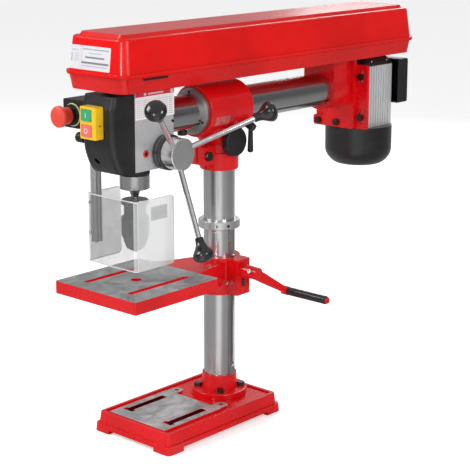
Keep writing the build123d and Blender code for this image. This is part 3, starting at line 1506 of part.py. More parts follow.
# Ribbed square motor body, open at both ends.
rib_count = 9
rib_pitch = 8.5
with BuildPart() as motor_housing:
    with BuildSketch(Plane.XY.offset(motor_bottom)):
        with Locations((0, motor_axis_y)):
            RectangleRounded(2 * motor_half, 2 * motor_half, 6)
            for quarter in range(4):
                with PolarLocations(motor_half - 1, 1, start_angle=90 * quarter):
                    with GridLocations(0, rib_pitch, 1, rib_count):
                        Rectangle(5, 3.5, mode=Mode.SUBTRACT)
            Circle(motor_bore_r, mode=Mode.SUBTRACT)
    extrude(amount=motor_top - motor_bottom)
    plate_back = Plane(origin=(0, plate_front_y + plate_thickness, 0), x_dir=(1, 0, 0), z_dir=(0, -1, 0))
    with BuildSketch(plate_back):
        with Locations(*plate_slots):
            RectangleRounded(17, 30, 2)
    extrude(amount=-(motor_axis_y - motor_half - plate_front_y - plate_thickness + 5))
    with BuildSketch(Plane(origin=(0, plate_front_y, 0), x_dir=(1, 0, 0), z_dir=(0, -1, 0))):
        with Locations(*plate_slots):
            Circle(4 + bolt_gap)
    extrude(amount=-(plate_thickness + 9), mode=Mode.SUBTRACT)
save(motor_housing.part, "motor_housing")

with BuildPart() as motor_top_cap:
    with BuildSketch(Plane.XY.offset(motor_top)):
        with Locations((0, motor_axis_y)):
            RectangleRounded(2 * motor_half, 2 * motor_half, 8)
    extrude(amount=6)
    with BuildSketch(Plane.XY.offset(motor_top + 6)):
        with Locations((0, motor_axis_y)):
            RectangleRounded(2 * motor_half - 2, 2 * motor_half - 2, 8)
    with BuildSketch(Plane.XY.offset(motor_cap_top)):
        with Locations((0, motor_axis_y)):
            RectangleRounded(2 * motor_half - 16, 2 * motor_half - 16, 16)
    loft()
    with BuildSketch(Plane.XY.offset(motor_top)):
        with Locations((0, motor_axis_y)):
            Circle(motor_bore_r - 8)
    extrude(amount=motor_cap_top - motor_top - 5, mode=Mode.SUBTRACT)
    with BuildSketch(Plane.XY.offset(motor_top)):
        with Locations((0, motor_axis_y)):
            Circle(motor_shaft_r + run_gap)
    extrude(amount=30, mode=Mode.SUBTRACT)
save(motor_top_cap.part, "motor_top_cap")

with BuildPart() as motor_fan_cover:
    with BuildSketch(Plane(origin=(0, motor_axis_y, 0), x_dir=(1, 0, 0), z_dir=(0, -1, 0))):
        with BuildLine():
            Line((0, fan_cover_bottom), (38, fan_cover_bottom))
            Spline(
                (38, fan_cover_bottom),
                (60, fan_cover_bottom + 10),
                (fan_cover_r, fan_cover_bottom + 34),
                tangents=((1, 0), (0, 1)),
            )
            Polyline(
                (fan_cover_r, fan_cover_bottom + 34),
                (fan_cover_r, motor_bottom),
                (0, motor_bottom),
                (0, fan_cover_bottom),
            )
        make_face()
    revolve(axis=Axis((0, motor_axis_y, 0), (0, 0, 1)))
    offset(amount=-2.5, openings=motor_fan_cover.faces().sort_by(Axis.Z)[-1])
    # end plate between the body and the fan
    with BuildSketch(Plane.XY.offset(motor_bottom - 4)):
        with Locations((0, motor_axis_y)):
            Circle(fan_cover_r - 1)
            Circle(motor_shaft_r + run_gap, mode=Mode.SUBTRACT)
    extrude(amount=4)
    # intake grille: three rings of round holes
    with BuildSketch(Plane.XY.offset(fan_cover_bottom)):
        with Locations((0, motor_axis_y)):
            for ring in range(1, 4):
                with PolarLocations(ring * 10, 6 * ring):
                    Circle(3)
    extrude(amount=3, mode=Mode.SUBTRACT)
save(motor_fan_cover.part, "motor_fan_cover")

with BuildPart() as motor_rotor:
    with BuildSketch(Plane.XY.offset(fan_cover_bottom + 12)):
        with Locations((0, motor_axis_y)):
            Circle(motor_shaft_r)
    extrude(amount=pulley_bottom + 5 * pulley_step + 3 - fan_cover_bottom - 12)
    with BuildSketch(Plane.XY.offset(motor_bottom + 24)):
        with Locations((0, motor_axis_y)):
            Circle(motor_bore_r - 14)
    extrude(amount=motor_top - motor_bottom - 48)
save(motor_rotor.part, "motor_rotor")

fan_blades = 7
with BuildPart() as motor_fan:
    with BuildSketch(Plane.XY.offset(fan_cover_bottom + 20)):
        with Locations((0, motor_axis_y)):
            Circle(18)
    extrude(amount=40)
    with BuildSketch(Plane.XY.offset(fan_cover_bottom + 44)):
        with Locations((0, motor_axis_y)):
            Circle(58)
    extrude(amount=3)
    with BuildSketch(Plane.XY.offset(fan_cover_bottom + 22)):
        with Locations((0, motor_axis_y)):
            with PolarLocations(36, fan_blades):
                Rectangle(38, 3)
    extrude(amount=24)
    with BuildSketch(Plane.XY.offset(fan_cover_bottom + 20)):
        with Locations((0, motor_axis_y)):
            Circle(motor_shaft_r)
    extrude(amount=40, mode=Mode.SUBTRACT)
save(motor_fan.part, "motor_fan")

# Terminal box on the motor's rear face, with a cable gland hole in its underside.
with BuildPart() as terminal_box:
    box_front = motor_axis_y + motor_half
    with BuildSketch(Plane(origin=(0, box_front, 0), x_dir=(1, 0, 0), z_dir=(0, -1, 0))):
        with Locations((terminal_x, (557 + 650) / 2)):
            RectangleRounded(terminal_width, 93, 4)
    extrude(amount=-terminal_depth)
    fillet(terminal_box.faces().sort_by(Axis.Y)[-1].edges(), 5)
    with BuildSketch(Plane(origin=(0, box_front, 0), x_dir=(1, 0, 0), z_dir=(0, -1, 0))):
        with Locations((terminal_x, (557 + 650) / 2)):
            RectangleRounded(terminal_width - 6, 87, 2)
    extrude(amount=-(terminal_depth - 3), mode=Mode.SUBTRACT)
    with BuildSketch(Plane(origin=(terminal_x, box_front + terminal_depth / 2, 557), z_dir=(0, 0, -1))):
        Circle(10)
    extrude(amount=7)
    with BuildSketch(Plane(origin=(terminal_x, box_front + terminal_depth / 2, 565), z_dir=(0, 0, -1))):
        Circle(4.5)
    extrude(amount=20, mode=Mode.SUBTRACT)
save(terminal_box.part, "terminal_box")
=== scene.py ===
import json
import math

import bmesh
import bpy
from bpy.props import FloatProperty, FloatVectorProperty, IntProperty, PointerProperty
from mathutils import Matrix, Vector

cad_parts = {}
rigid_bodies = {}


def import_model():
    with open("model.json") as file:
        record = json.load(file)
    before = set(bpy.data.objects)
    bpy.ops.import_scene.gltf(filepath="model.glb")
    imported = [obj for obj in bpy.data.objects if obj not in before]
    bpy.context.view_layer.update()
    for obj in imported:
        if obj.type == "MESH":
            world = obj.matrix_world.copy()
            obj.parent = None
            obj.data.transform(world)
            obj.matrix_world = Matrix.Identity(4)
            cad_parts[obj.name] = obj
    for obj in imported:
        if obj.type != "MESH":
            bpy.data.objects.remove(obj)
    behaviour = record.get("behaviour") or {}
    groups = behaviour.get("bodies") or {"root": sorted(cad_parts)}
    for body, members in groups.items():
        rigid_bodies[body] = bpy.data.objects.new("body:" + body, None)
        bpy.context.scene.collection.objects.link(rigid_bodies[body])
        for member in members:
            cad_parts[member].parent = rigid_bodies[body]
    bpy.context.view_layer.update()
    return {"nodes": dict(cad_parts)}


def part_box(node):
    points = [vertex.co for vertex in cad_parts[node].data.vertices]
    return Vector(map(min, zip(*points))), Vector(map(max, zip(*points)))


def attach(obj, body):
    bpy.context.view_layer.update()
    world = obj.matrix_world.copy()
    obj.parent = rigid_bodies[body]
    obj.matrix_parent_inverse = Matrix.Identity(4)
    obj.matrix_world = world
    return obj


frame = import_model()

bl_info = {
    "name": "Radial drill press dressing",
    "version": (1, 0, 0),
    "blender": (4, 5, 0),
    "location": "View3D > Sidebar > Drill Press",
    "description": "Finishes, labels, screws and scales of a bench radial drill press",
    "category": "Object",
}

MM = 0.001
nodes = frame["nodes"]

# Places in the shared frame, in millimetres
RAM_Z = 600
SPINDLE_Y = -164
COLUMN_Y = 59
STOP_X, STOP_Z = -74, 613
PLUG_Y, PLUG_Z = -174.5, 547.6

EASED = 0.7 * MM
ROW_SHARE = 0.42
LANE = (0.687, -0.727)
OUTWARD = (1, 0, 0)
FORWARD = (0, -1, 0)


# ---------------------------------------------------------------- sizes and colours
class DrillPaint(bpy.types.PropertyGroup):
    enamel: FloatVectorProperty(
        name="Housing enamel", description="Colour of the sheet belt housing", subtype="COLOR",
        size=3, min=0, max=1, default=(0.86, 0.004, 0.003))
    casting: FloatVectorProperty(
        name="Casting paint", description="Colour of the painted castings", subtype="COLOR",
        size=3, min=0, max=1, default=(0.78, 0.003, 0.006))
    hammered: FloatVectorProperty(
        name="Hammered grey", description="Colour of the head casting", subtype="COLOR",
        size=3, min=0, max=1, default=(0.46, 0.46, 0.47))
    machined: FloatVectorProperty(
        name="Machined iron", description="Colour of the cut faces of table and base",
        subtype="COLOR", size=3, min=0, max=1, default=(0.40, 0.41, 0.41))


class DrillTrim(bpy.types.PropertyGroup):
    label_thickness: FloatProperty(
        name="Label thickness", description="Thickness of the stuck-on panels", unit="LENGTH",
        default=0.25 * MM, min=0.05 * MM, max=1 * MM)
    screw_radius: FloatProperty(
        name="Screw head radius", description="Radius of the small screw heads", unit="LENGTH",
        default=2.6 * MM, min=1 * MM, max=6 * MM)
    scale_marks: IntProperty(
        name="Tilt marks", description="Marks round the tilt scale", default=120, min=12, max=360)
    depth_marks: IntProperty(
        name="Depth marks", description="Marks round the depth ring", default=60, min=12, max=360)
    stop_ring: FloatProperty(
        name="Stop ring radius", description="Outer radius of the ring behind the stop button",
        unit="LENGTH", default=20.5 * MM, min=15 * MM, max=24 * MM)


class DrillStage(bpy.types.PropertyGroup):
    floor: FloatProperty(
        name="Floor size", description="Side of the floor", unit="LENGTH", default=24.0)
    sky: FloatProperty(
        name="Sky", description="Brightness of the surroundings", default=1.15, min=0)
    lens: FloatProperty(
        name="Lens", description="Focal length in millimetres", default=108.7, min=20)


# ---------------------------------------------------------------- shader helpers
class Value:
    """A number socket that adds its own Math nodes when it takes part in an expression."""

    def __init__(self, shade, socket):
        self.shade = shade
        self.socket = socket

    def _with(self, operation, first, second=None):
        values = {0: first}
        if second is not None:
            values[1] = second
        made = self.shade.node("ShaderNodeMath", {"operation": operation}, values)
        return Value(self.shade, made.outputs[0])

    def __add__(self, other):
        return self._with("ADD", self, other)

    def __radd__(self, other):
        return self._with("ADD", other, self)

    def __sub__(self, other):
        return self._with("SUBTRACT", self, other)

    def __rsub__(self, other):
        return self._with("SUBTRACT", other, self)

    def __mul__(self, other):
        return self._with("MULTIPLY", self, other)

    def __truediv__(self, other):
        return self._with("DIVIDE", self, other)

    def __gt__(self, other):
        return self._with("GREATER_THAN", self, other)

    def __lt__(self, other):
        return self._with("LESS_THAN", self, other)

    def __mod__(self, other):
        return self._with("FLOORED_MODULO", self, other)

    def root(self):
        return self._with("SQRT", self)

    def most(self, other):
        return self._with("MINIMUM", self, other)

    def least(self, other):
        return self._with("MAXIMUM", self, other)

    def ramp(self, low, high):
        """0 at low, 1 at high, straight between and held outside."""
        made = self.shade.node(
            "ShaderNodeMapRange", {"clamp": True}, {0: self, 1: low, 2: high, 3: 0.0, 4: 1.0})
        return Value(self.shade, made.outputs[0])

    def between(self, low, high):
        return (self > low) * (self < high)


class Shade:
    """A material and the nodes that it is made of."""

    def __init__(self, name):
        self.material = bpy.data.materials.new(name)
        self.material.use_nodes = True
        self.tree = self.material.node_tree
        self.tree.nodes.clear()
        self.output = self.node("ShaderNodeOutputMaterial")
        self.where = self.node("ShaderNodeTexCoord").outputs["Object"]
        self.facing = self.node("ShaderNodeNewGeometry").outputs["Normal"]

    def node(self, kind, settings=None, values=None):
        made = self.tree.nodes.new(kind)
        for key, setting in (settings or {}).items():
            setattr(made, key, setting)
        for key, value in (values or {}).items():
            socket = made.inputs[key]
            if isinstance(value, Value):
                value = value.socket
            if isinstance(value, bpy.types.NodeSocket):
                self.tree.links.new(value, socket)
            elif socket.type == "RGBA" and len(value) == 3:
                socket.default_value = (*value, 1.0)
            else:
                socket.default_value = value
        return made

    def axes(self, vector=None):
        """The three parts of a vector, by default of the place in the object."""
        made = self.node("ShaderNodeSeparateXYZ", values={0: vector or self.where})
        return [Value(self, made.outputs[i]) for i in range(3)]

    def noise(self, scale, detail=2.0, rough=0.5, stretch=(1, 1, 1), distortion=0.0):
        place = self.node("ShaderNodeMapping", values={0: self.where, 3: stretch}).outputs[0]
        made = self.node(
            "ShaderNodeTexNoise", {"noise_dimensions": "3D"},
            {"Vector": place, "Scale": scale, "Detail": detail, "Roughness": rough,
             "Distortion": distortion})
        return Value(self, made.outputs[0])

    def cells(self, scale, feature="SMOOTH_F1"):
        made = self.node(
            "ShaderNodeTexVoronoi", {"feature": feature}, {"Vector": self.where, "Scale": scale})
        return Value(self, made.outputs["Distance"])

    def mix(self, factor, first, second):
        made = self.node("ShaderNodeMix", {"data_type": "RGBA"}, {0: factor, 6: first, 7: second})
        return made.outputs[2]

    def bump(self, height, distance, strength=1.0, under=None):
        values = {"Height": height, "Distance": distance, "Strength": strength}
        if under is not None:
            values["Normal"] = under
        return self.node("ShaderNodeBump", values=values).outputs[0]

    def eased(self, radius):
        """The normal with its sharp edges rounded off."""
        return self.node("ShaderNodeBevel", {"samples": 4}, {"Radius": radius}).outputs[0]

    def close(self, **sockets):
        """Ends the material in one Principled shader."""
        values = {key.replace("_", " "): value for key, value in sockets.items()}
        shader = self.node("ShaderNodeBsdfPrincipled", values=values)
        self.tree.links.new(shader.outputs[0], self.output.inputs[0])
        return self.material


def toned(colour, share):
    """The colour made brighter or darker by a share, never past white."""
    return tuple(min(1.0, c * share) for c in colour)


def painted(name, colour, grain=0.25, lumps=0.0, rough=0.26, coat=0.35, edge=0.8 * MM):
    """Gloss paint: fine orange peel, slight unevenness of colour and dust in the gloss."""
    shade = Shade(name)
    broad = shade.noise(7, 3)
    fine = shade.noise(420, 2)
    cast = shade.noise(150, 3, 0.6)
    dull = shade.noise(38, 4, 0.65)
    tint = shade.mix(broad.ramp(0.35, 0.68), toned(colour, 0.80), colour)
    specks = shade.noise(900, 1).ramp(0.72, 0.80)
    tint = shade.mix(specks * 0.25, tint, tuple(min(1.0, c * 0.55 + 0.03) for c in colour))
    normal = shade.bump(fine * grain + cast * lumps, 0.12 * MM, 0.6, shade.eased(edge))
    return shade.close(
        Base_Color=tint, Roughness=rough + (dull - 0.5) * 0.16, Specular_IOR_Level=0.3,
        Coat_Weight=coat, Coat_Roughness=0.10, Normal=normal)


def cut_face(name, colour, paint, level_low, level_high, streak_along, slot_shade_boxes=()):
    """Painted casting with a bare machined top between two heights, and painted shade, nearly
    black, in the wells below it.
    """
    shade = Shade(name)
    x, y, z = shade.axes()
    up = shade.axes(shade.facing)[2]
    bare = (up > 0.96) * z.between(level_low, level_high)
    fine = shade.noise(420, 2)
    cast = shade.noise(150, 3, 0.6)
    broad = shade.noise(7, 3)
    red = shade.mix(broad.ramp(0.35, 0.68), toned(paint, 0.80), paint)
    stretch = (26, 620, 1) if streak_along == "x" else (620, 26, 1)
    streak = shade.noise(1, 4, 0.65, stretch)
    cloud = shade.noise(17, 5, 0.62, distortion=1.4)
    smear = shade.noise(9, 3, 0.5, (2.2, 1, 1), 2.0)
    bright = toned(colour, 1.45)
    metal = shade.mix(cloud.ramp(0.36, 0.64), toned(colour, 0.72), bright)
    metal = shade.mix(smear.ramp(0.52, 0.66) * 0.55, metal, toned(colour, 0.50))
    metal = shade.mix(streak.ramp(0.45, 0.75) * 0.35, metal, bright)
    spots = shade.cells(60, "F1").ramp(0.10, 0.05) * shade.noise(30, 2).ramp(0.56, 0.62)
    metal = shade.mix(spots * 0.5, metal, (0.20, 0.17, 0.14))
    # painted shade: the paint turns nearly black in the slot boxes below the top, where shade falls
    # in the slots
    for left, right, front, rear in slot_shade_boxes:
        slot_shade = x.between(left, right) * y.between(front, rear) * (z < level_high - 1.2 * MM)
        red = shade.mix(slot_shade * 0.93, red, (0.02, 0.001, 0.002))
    colour_out = shade.mix(bare, red, metal)
    gloss = 0.28 + (shade.noise(38, 4, 0.65) - 0.5) * 0.16
    steel_gloss = 0.34 + streak * 0.16 + smear.ramp(0.5, 0.7) * 0.10
    height = (fine * 0.28 + cast * 0.30) * (1 - bare) + streak * bare * 0.22
    return shade.close(
        Base_Color=colour_out, Roughness=gloss * (1 - bare) + steel_gloss * bare,
        Metallic=bare * 0.75, Specular_IOR_Level=0.35, Coat_Weight=(1 - bare) * 0.2,
        Coat_Roughness=0.10, Normal=shade.bump(height, 0.12 * MM, 0.6, shade.eased(0.8 * MM)))


def ground_steel(name, colour, stretch, rough=0.30, wear=0.25, metallic=1.0,
                 stain=(0.30, 0.24, 0.18)):
    """Ground or turned steel, with its lines running across the stretched axis."""
    shade = Shade(name)
    lines = shade.noise(1, 3, 0.7, stretch)
    broad = shade.noise(24, 4, 0.6)
    spots = shade.noise(240, 3, 0.6).ramp(0.66, 0.74) * shade.noise(16, 2).ramp(0.5, 0.66)
    tint = shade.mix(lines.ramp(0.3, 0.7), toned(colour, 0.93), toned(colour, 1.07))
    tint = shade.mix(broad.ramp(0.4, 0.7) * wear, tint, toned(colour, 0.8))
    tint = shade.mix(spots * wear, tint, stain)
    return shade.close(
        Base_Color=tint, Metallic=metallic,
        Roughness=rough + (lines - 0.5) * 0.08 + spots * 0.15,
        Normal=shade.bump(lines, 0.01 * MM, 0.15, shade.eased(0.35 * MM)))


def moulded(name, colour, rough=0.42, grain=0.5, scale=900, coat=0.0, edge=EASED, dust=0.12):
    """Moulded plastic: fine spark grain, a few scuffs and a little dust."""
    shade = Shade(name)
    pits = shade.noise(scale, 2, 0.6)
    wipe = shade.noise(26, 4, 0.7, (1, 1, 2.5))
    scuff = shade.noise(1, 3, 0.6, (60, 240, 900)).ramp(0.70, 0.76)
    pale = tuple(min(1.0, c * 1.3 + 0.035) for c in colour)
    tint = shade.mix(wipe.ramp(0.5, 0.8) * dust * 2, colour, pale)
    tint = shade.mix(scuff * 0.18, tint, pale)
    return shade.close(
        Base_Color=tint, Roughness=rough + (wipe - 0.5) * 0.22 + scuff * 0.08,
        Coat_Weight=coat, Coat_Roughness=0.08,
        Normal=shade.bump(pits * grain, 0.10 * MM, 0.5, shade.eased(edge)))


def hammered(name, colour):
    """Hammer-finish paint: shallow cells with brighter rims."""
    shade = Shade(name)
    cell = shade.cells(520)
    broad = shade.noise(12, 3)
    fleck = shade.noise(900, 2).ramp(0.45, 0.72)
    bright = toned(colour, 1.22)
    tint = shade.mix(cell.ramp(0.1, 0.6), colour, bright)
    tint = shade.mix(fleck * 0.25, tint, toned(colour, 0.88))
    tint = shade.mix(broad.ramp(0.4, 0.7) * 0.25, tint, bright)
    return shade.close(
        Base_Color=tint, Roughness=0.36 + cell * 0.12, Metallic=0.25, Coat_Weight=0.25,
        Coat_Roughness=0.2, Normal=shade.bump(cell, 0.15 * MM, 0.22, shade.eased(0.9 * MM)))


def clear_sheet(name, low, high):
    """Acrylic sheet: nearly clear, with painted highlights that whiten its edge bands and front
    corners, and a few handling marks.
    """
    shade = Shade(name)
    x, y, z = shade.axes()
    # painted highlight: bands along the edges and at the front corners, standing in for reflected
    # light
    edge_highlight = ((z - (high.z - 1.6 * MM)) > 0).least((z - (low.z + 1.6 * MM)) < 0)
    edge_highlight = edge_highlight.least((y - (high.y - 1.4 * MM)) > 0).least((x - (high.x - 0.4 * MM)) > 0)
    corner = ((x - low.x) + (y - low.y) < 6 * MM).least((high.x - x) + (y - low.y) < 6 * MM)
    haze = shade.noise(22, 4, 0.6).ramp(0.42, 0.78)
    scratch = shade.noise(1, 2, 0.6, (900, 900, 50)).ramp(0.72, 0.76)
    veil = 0.28 + haze * 0.08 + scratch * 0.06 + edge_highlight * 0.45 + corner * 0.22
    return shade.close(
        # painted highlight: the edge bands and corners take a near-white colour and more opacity
        Base_Color=shade.mix(edge_highlight.least(corner), (0.25, 0.255, 0.26), (0.78, 0.79, 0.79)),
        Roughness=0.07 + haze * 0.08,
        Alpha=veil.most(0.95), IOR=1.3, Coat_Weight=0.3, Coat_Roughness=0.05,
        Normal=shade.bump(haze, 0.2 * MM, 0.1))


def bars(across, up, lines):
    """1 where any of the (left, right, low, high) bars is."""
    total = None
    for left, right, low, high in lines:
        bar = across.between(left, right) * up.between(low, high)
        total = bar if total is None else total.least(bar)
    return total


def broken(shade, across, up, left, right, low, high, pitch, length):
    """Short dashes in rows, standing for small print without any letters."""
    row = ((up - low) % pitch) < pitch * ROW_SHARE
    dash = shade.noise(1, 0, 0.5, (length, length, 0.001)) > 0.43
    return row * dash * across.between(left, right) * up.between(low, high)


# ---------------------------------------------------------------- mesh helpers
def link(name, mesh, material):
    piece = bpy.data.objects.new(name, mesh)
    bpy.context.scene.collection.objects.link(piece)
    if material is not None and not mesh.materials:
        mesh.materials.append(material)
    return piece


def finish_mesh(work, name, material, smooth=True):
    bmesh.ops.remove_doubles(work, verts=work.verts, dist=1e-7)
    bmesh.ops.recalc_face_normals(work, faces=work.faces)
    mesh = bpy.data.meshes.new(name)
    work.to_mesh(mesh)
    work.free()
    if smooth:
        mesh.shade_smooth()
        mesh.set_sharp_from_angle(angle=math.radians(35))
    return link(name, mesh, material)


def turned(name, profile, place, axis, material, around=48):
    """Closed body of revolution from (radius, height) corners, its axis through place."""
    turn = Vector((0, 0, 1)).rotation_difference(Vector(axis)).to_matrix().to_4x4()
    put = Matrix.Translation(place) @ turn
    work = bmesh.new()
    rings = []
    for radius, height in profile:
        if radius < 1e-9:
            rings.append([work.verts.new(put @ Vector((0, 0, height)))])
            continue
        rings.append([
            work.verts.new(put @ Vector((radius * math.cos(t), radius * math.sin(t), height)))
            for t in (2 * math.pi * i / around for i in range(around))])
    closed = profile[0][0] > 1e-9
    pairs = list(zip(rings, rings[1:])) + ([(rings[-1], rings[0])] if closed else [])
    for first, second in pairs:
        for i in range(around):
            j = (i + 1) % around
            corners = [first[i % len(first)], first[j % len(first)],
                       second[j % len(second)], second[i % len(second)]]
            unique = list(dict.fromkeys(corners))
            if len(unique) > 2:
                work.faces.new(unique)
    return finish_mesh(work, name, material)


def panel(name, corners, thickness, material, round_by=0.0):
    """Thin slab standing on four corners given anticlockwise seen from outside."""
    a, b, c, d = [Vector(p) for p in corners]
    out = (b - a).cross(d - a).normalized() * thickness
    outline = []
    for here, before, after in ((a, d, b), (b, a, c), (c, b, d), (d, c, a)):
        if round_by <= 0:
            outline.append(here)
            continue
        to_before = (before - here).normalized() * round_by
        to_after = (after - here).normalized() * round_by
        for i in range(5):
            t = math.pi / 2 * i / 4
            outline.append(here + to_before * (1 - math.sin(t)) + to_after * (1 - math.cos(t)))
    work = bmesh.new()
    under = [work.verts.new(p) for p in outline]
    over = [work.verts.new(p + out) for p in outline]
    work.faces.new(under[::-1])
    work.faces.new(over)
    for i in range(len(outline)):
        j = (i + 1) % len(outline)
        work.faces.new((under[i], under[j], over[j], over[i]))
    return finish_mesh(work, name, material, smooth=False)


def wrapped(name, radius, thickness, centre, along, start_deg, end_deg, material, steps=24):
    """Thin curved patch on a cylinder along Y, from one angle to another about it."""
    work = bmesh.new()
    rows = []
    for i in range(steps + 1):
        t = math.radians(start_deg + (end_deg - start_deg) * i / steps)
        ring = []
        outer = radius + thickness
        for r, y in zip((radius, radius, outer, outer), (*along, *along[::-1])):
            place = (centre[0] + r * math.cos(t), y, centre[1] + r * math.sin(t))
            ring.append(work.verts.new(place))
        rows.append(ring)
    for first, second in zip(rows, rows[1:]):
        for i in range(4):
            j = (i + 1) % 4
            work.faces.new((first[i], first[j], second[j], second[i]))
    work.faces.new(rows[0])
    work.faces.new(rows[-1][::-1])
    return finish_mesh(work, name, material)


# ---------------------------------------------------------------- geometry node trees
class Tree:
    """A Geometry Nodes tree with named inputs."""

    def __init__(self, name, inputs):
        self.group = bpy.data.node_groups.new(name, "GeometryNodeTree")
        face = self.group.interface
        self.ids = {}
        for label, kind, default in inputs:
            socket = face.new_socket(label, in_out="INPUT", socket_type=kind)
            if default is not None:
                socket.default_value = default
            self.ids[label] = socket.identifier
        face.new_socket("Geometry", in_out="OUTPUT", socket_type="NodeSocketGeometry")
        self.start = self.group.nodes.new("NodeGroupInput")
        self.end = self.group.nodes.new("NodeGroupOutput")

    def given(self, label):
        return self.start.outputs[label]

    def node(self, kind, settings=None, values=None):
        made = self.group.nodes.new(kind)
        for key, setting in (settings or {}).items():
            setattr(made, key, setting)
        for key, value in (values or {}).items():
            if isinstance(value, bpy.types.NodeSocket):
                self.group.links.new(value, made.inputs[key])
            else:
                made.inputs[key].default_value = value
        return made

    def maths(self, operation, first, second=0.0):
        values = {0: first, 1: second}
        return self.node("ShaderNodeMath", {"operation": operation}, values).outputs[0]

    def close(self, geometry):
        real = self.node("GeometryNodeRealizeInstances", values={0: geometry}).outputs[0]
        painted_on = self.node(
            "GeometryNodeSetMaterial",
            values={0: real, "Material": self.given("Finish")}).outputs[0]
        self.group.links.new(painted_on, self.end.inputs[0])
        return self


def screw_tree():
    """Screw heads with a chamfer and a socket, one on each point, looking along its aim."""
    tree = Tree("screw_heads", [
        ("Points", "NodeSocketGeometry", None), ("Head Radius", "NodeSocketFloat", 2.5 * MM),
        ("Head Height", "NodeSocketFloat", 1.5 * MM), ("Socket Share", "NodeSocketFloat", 0.5),
        ("Sides", "NodeSocketInt", 24), ("Finish", "NodeSocketMaterial", None)])
    radius, height = tree.given("Head Radius"), tree.given("Head Height")
    low = tree.maths("MULTIPLY", height, 0.7)
    head = tree.node(
        "GeometryNodeMeshCylinder", {"fill_type": "NGON"},
        {"Vertices": tree.given("Sides"), "Radius": radius, "Depth": low})
    lifted = tree.node(
        "GeometryNodeExtrudeMesh", {"mode": "FACES"},
        {"Mesh": head.outputs["Mesh"], "Selection": head.outputs["Top"],
         "Offset Scale": tree.maths("MULTIPLY", height, 0.3)})
    chamfered = tree.node(
        "GeometryNodeScaleElements", {"domain": "FACE"},
        {"Geometry": lifted.outputs["Mesh"], "Selection": lifted.outputs["Top"], "Scale": 0.84})
    rimmed = tree.node(
        "GeometryNodeExtrudeMesh", {"mode": "FACES"},
        {"Mesh": chamfered.outputs[0], "Selection": lifted.outputs["Top"], "Offset Scale": 0.0})
    inner = tree.node(
        "GeometryNodeScaleElements", {"domain": "FACE"},
        {"Geometry": rimmed.outputs["Mesh"], "Selection": rimmed.outputs["Top"],
         "Scale": tree.given("Socket Share")})
    sunk = tree.node(
        "GeometryNodeExtrudeMesh", {"mode": "FACES"},
        {"Mesh": inner.outputs[0], "Selection": rimmed.outputs["Top"],
         "Offset Scale": tree.maths("MULTIPLY", height, -0.75)})
    half_low = tree.maths("MULTIPLY", low, 0.5)
    shift = tree.node("ShaderNodeCombineXYZ", values={2: half_low}).outputs[0]
    seated = tree.node(
        "GeometryNodeTransform", values={"Geometry": sunk.outputs["Mesh"], "Translation": shift})
    aim = tree.node(
        "GeometryNodeInputNamedAttribute", {"data_type": "FLOAT_VECTOR"}, {"Name": "aim"})
    turn = tree.node(
        "FunctionNodeAlignRotationToVector", {"axis": "Z"}, {"Vector": aim.outputs["Attribute"]})
    put = tree.node(
        "GeometryNodeInstanceOnPoints",
        values={"Points": tree.given("Points"), "Instance": seated.outputs[0],
                "Rotation": turn.outputs[0]})
    return tree.close(put.outputs[0])


def mark_tree():
    """Scale marks round a ring that lies flat: every fifth mark is longer."""
    tree = Tree("scale_marks", [
        ("Geometry", "NodeSocketGeometry", None), ("Ring Radius", "NodeSocketFloat", 0.04),
        ("Marks", "NodeSocketInt", 60), ("Mark Length", "NodeSocketFloat", 2 * MM),
        ("Mark Width", "NodeSocketFloat", 0.4 * MM), ("Mark Height", "NodeSocketFloat", 0.15 * MM),
        ("Finish", "NodeSocketMaterial", None)])
    ring = tree.node(
        "GeometryNodeMeshCircle",
        values={"Vertices": tree.given("Marks"), "Radius": tree.given("Ring Radius")})
    size = tree.node(
        "ShaderNodeCombineXYZ",
        values={0: tree.given("Mark Height"), 1: tree.given("Mark Width"),
                2: tree.given("Mark Length")})
    mark = tree.node("GeometryNodeMeshCube", values={"Size": size.outputs[0]})
    index = tree.node("GeometryNodeInputIndex").outputs[0]
    fifth = tree.maths("LESS_THAN", tree.maths("MODULO", index, 5.0), 0.5)
    longer = tree.maths("ADD", tree.maths("MULTIPLY", fifth, 0.7), 1.0)
    grow = tree.node("ShaderNodeCombineXYZ", values={0: 1.0, 1: 1.0, 2: longer}).outputs[0]
    place = tree.node("GeometryNodeInputPosition").outputs[0]
    turn = tree.node("FunctionNodeAlignRotationToVector", {"axis": "X"}, {"Vector": place})
    put = tree.node(
        "GeometryNodeInstanceOnPoints",
        values={"Points": ring.outputs[0], "Instance": mark.outputs[0], "Rotation": turn.outputs[0],
                "Scale": grow})
    return tree.close(put.outputs[0])


def grown(tree, name, mesh, sizes, material, move=None):
    """Runs a tree on a mesh and leaves a plain mesh with its place in its points."""
    holder = bpy.data.objects.new(name + "_maker", mesh)
    bpy.context.scene.collection.objects.link(holder)
    modifier = holder.modifiers.new("maker", "NODES")
    modifier.node_group = tree.group
    for label, size in sizes.items():
        modifier[tree.ids[label]] = size
    modifier[tree.ids["Finish"]] = material
    shown = holder.evaluated_get(bpy.context.evaluated_depsgraph_get())
    made = bpy.data.meshes.new_from_object(shown)
    bpy.data.objects.remove(holder)
    made.name = name
    if move is not None:
        made.transform(move)
    return link(name, made, material)


def points_mesh(name, spots):
    mesh = bpy.data.meshes.new(name)
    mesh.from_pydata([tuple(place) for place, aim in spots], [], [])
    aims = mesh.attributes.new("aim", "FLOAT_VECTOR", "POINT")
    for i, (place, aim) in enumerate(spots):
        aims.data[i].vector = Vector(aim).normalized()
    return mesh


def mm(*values):
    return Vector(values) * MM


def profile(*corners):
    """Radius and height pairs in millimetres, for a turned body."""
    return [(radius * MM, height * MM) for radius, height in corners]


def upright(x, front, rear, low, high):
    """Corners in millimetres of a rectangle that faces along X."""
    return [mm(x, front, low), mm(x, rear, low), mm(x, rear, high), mm(x, front, high)]


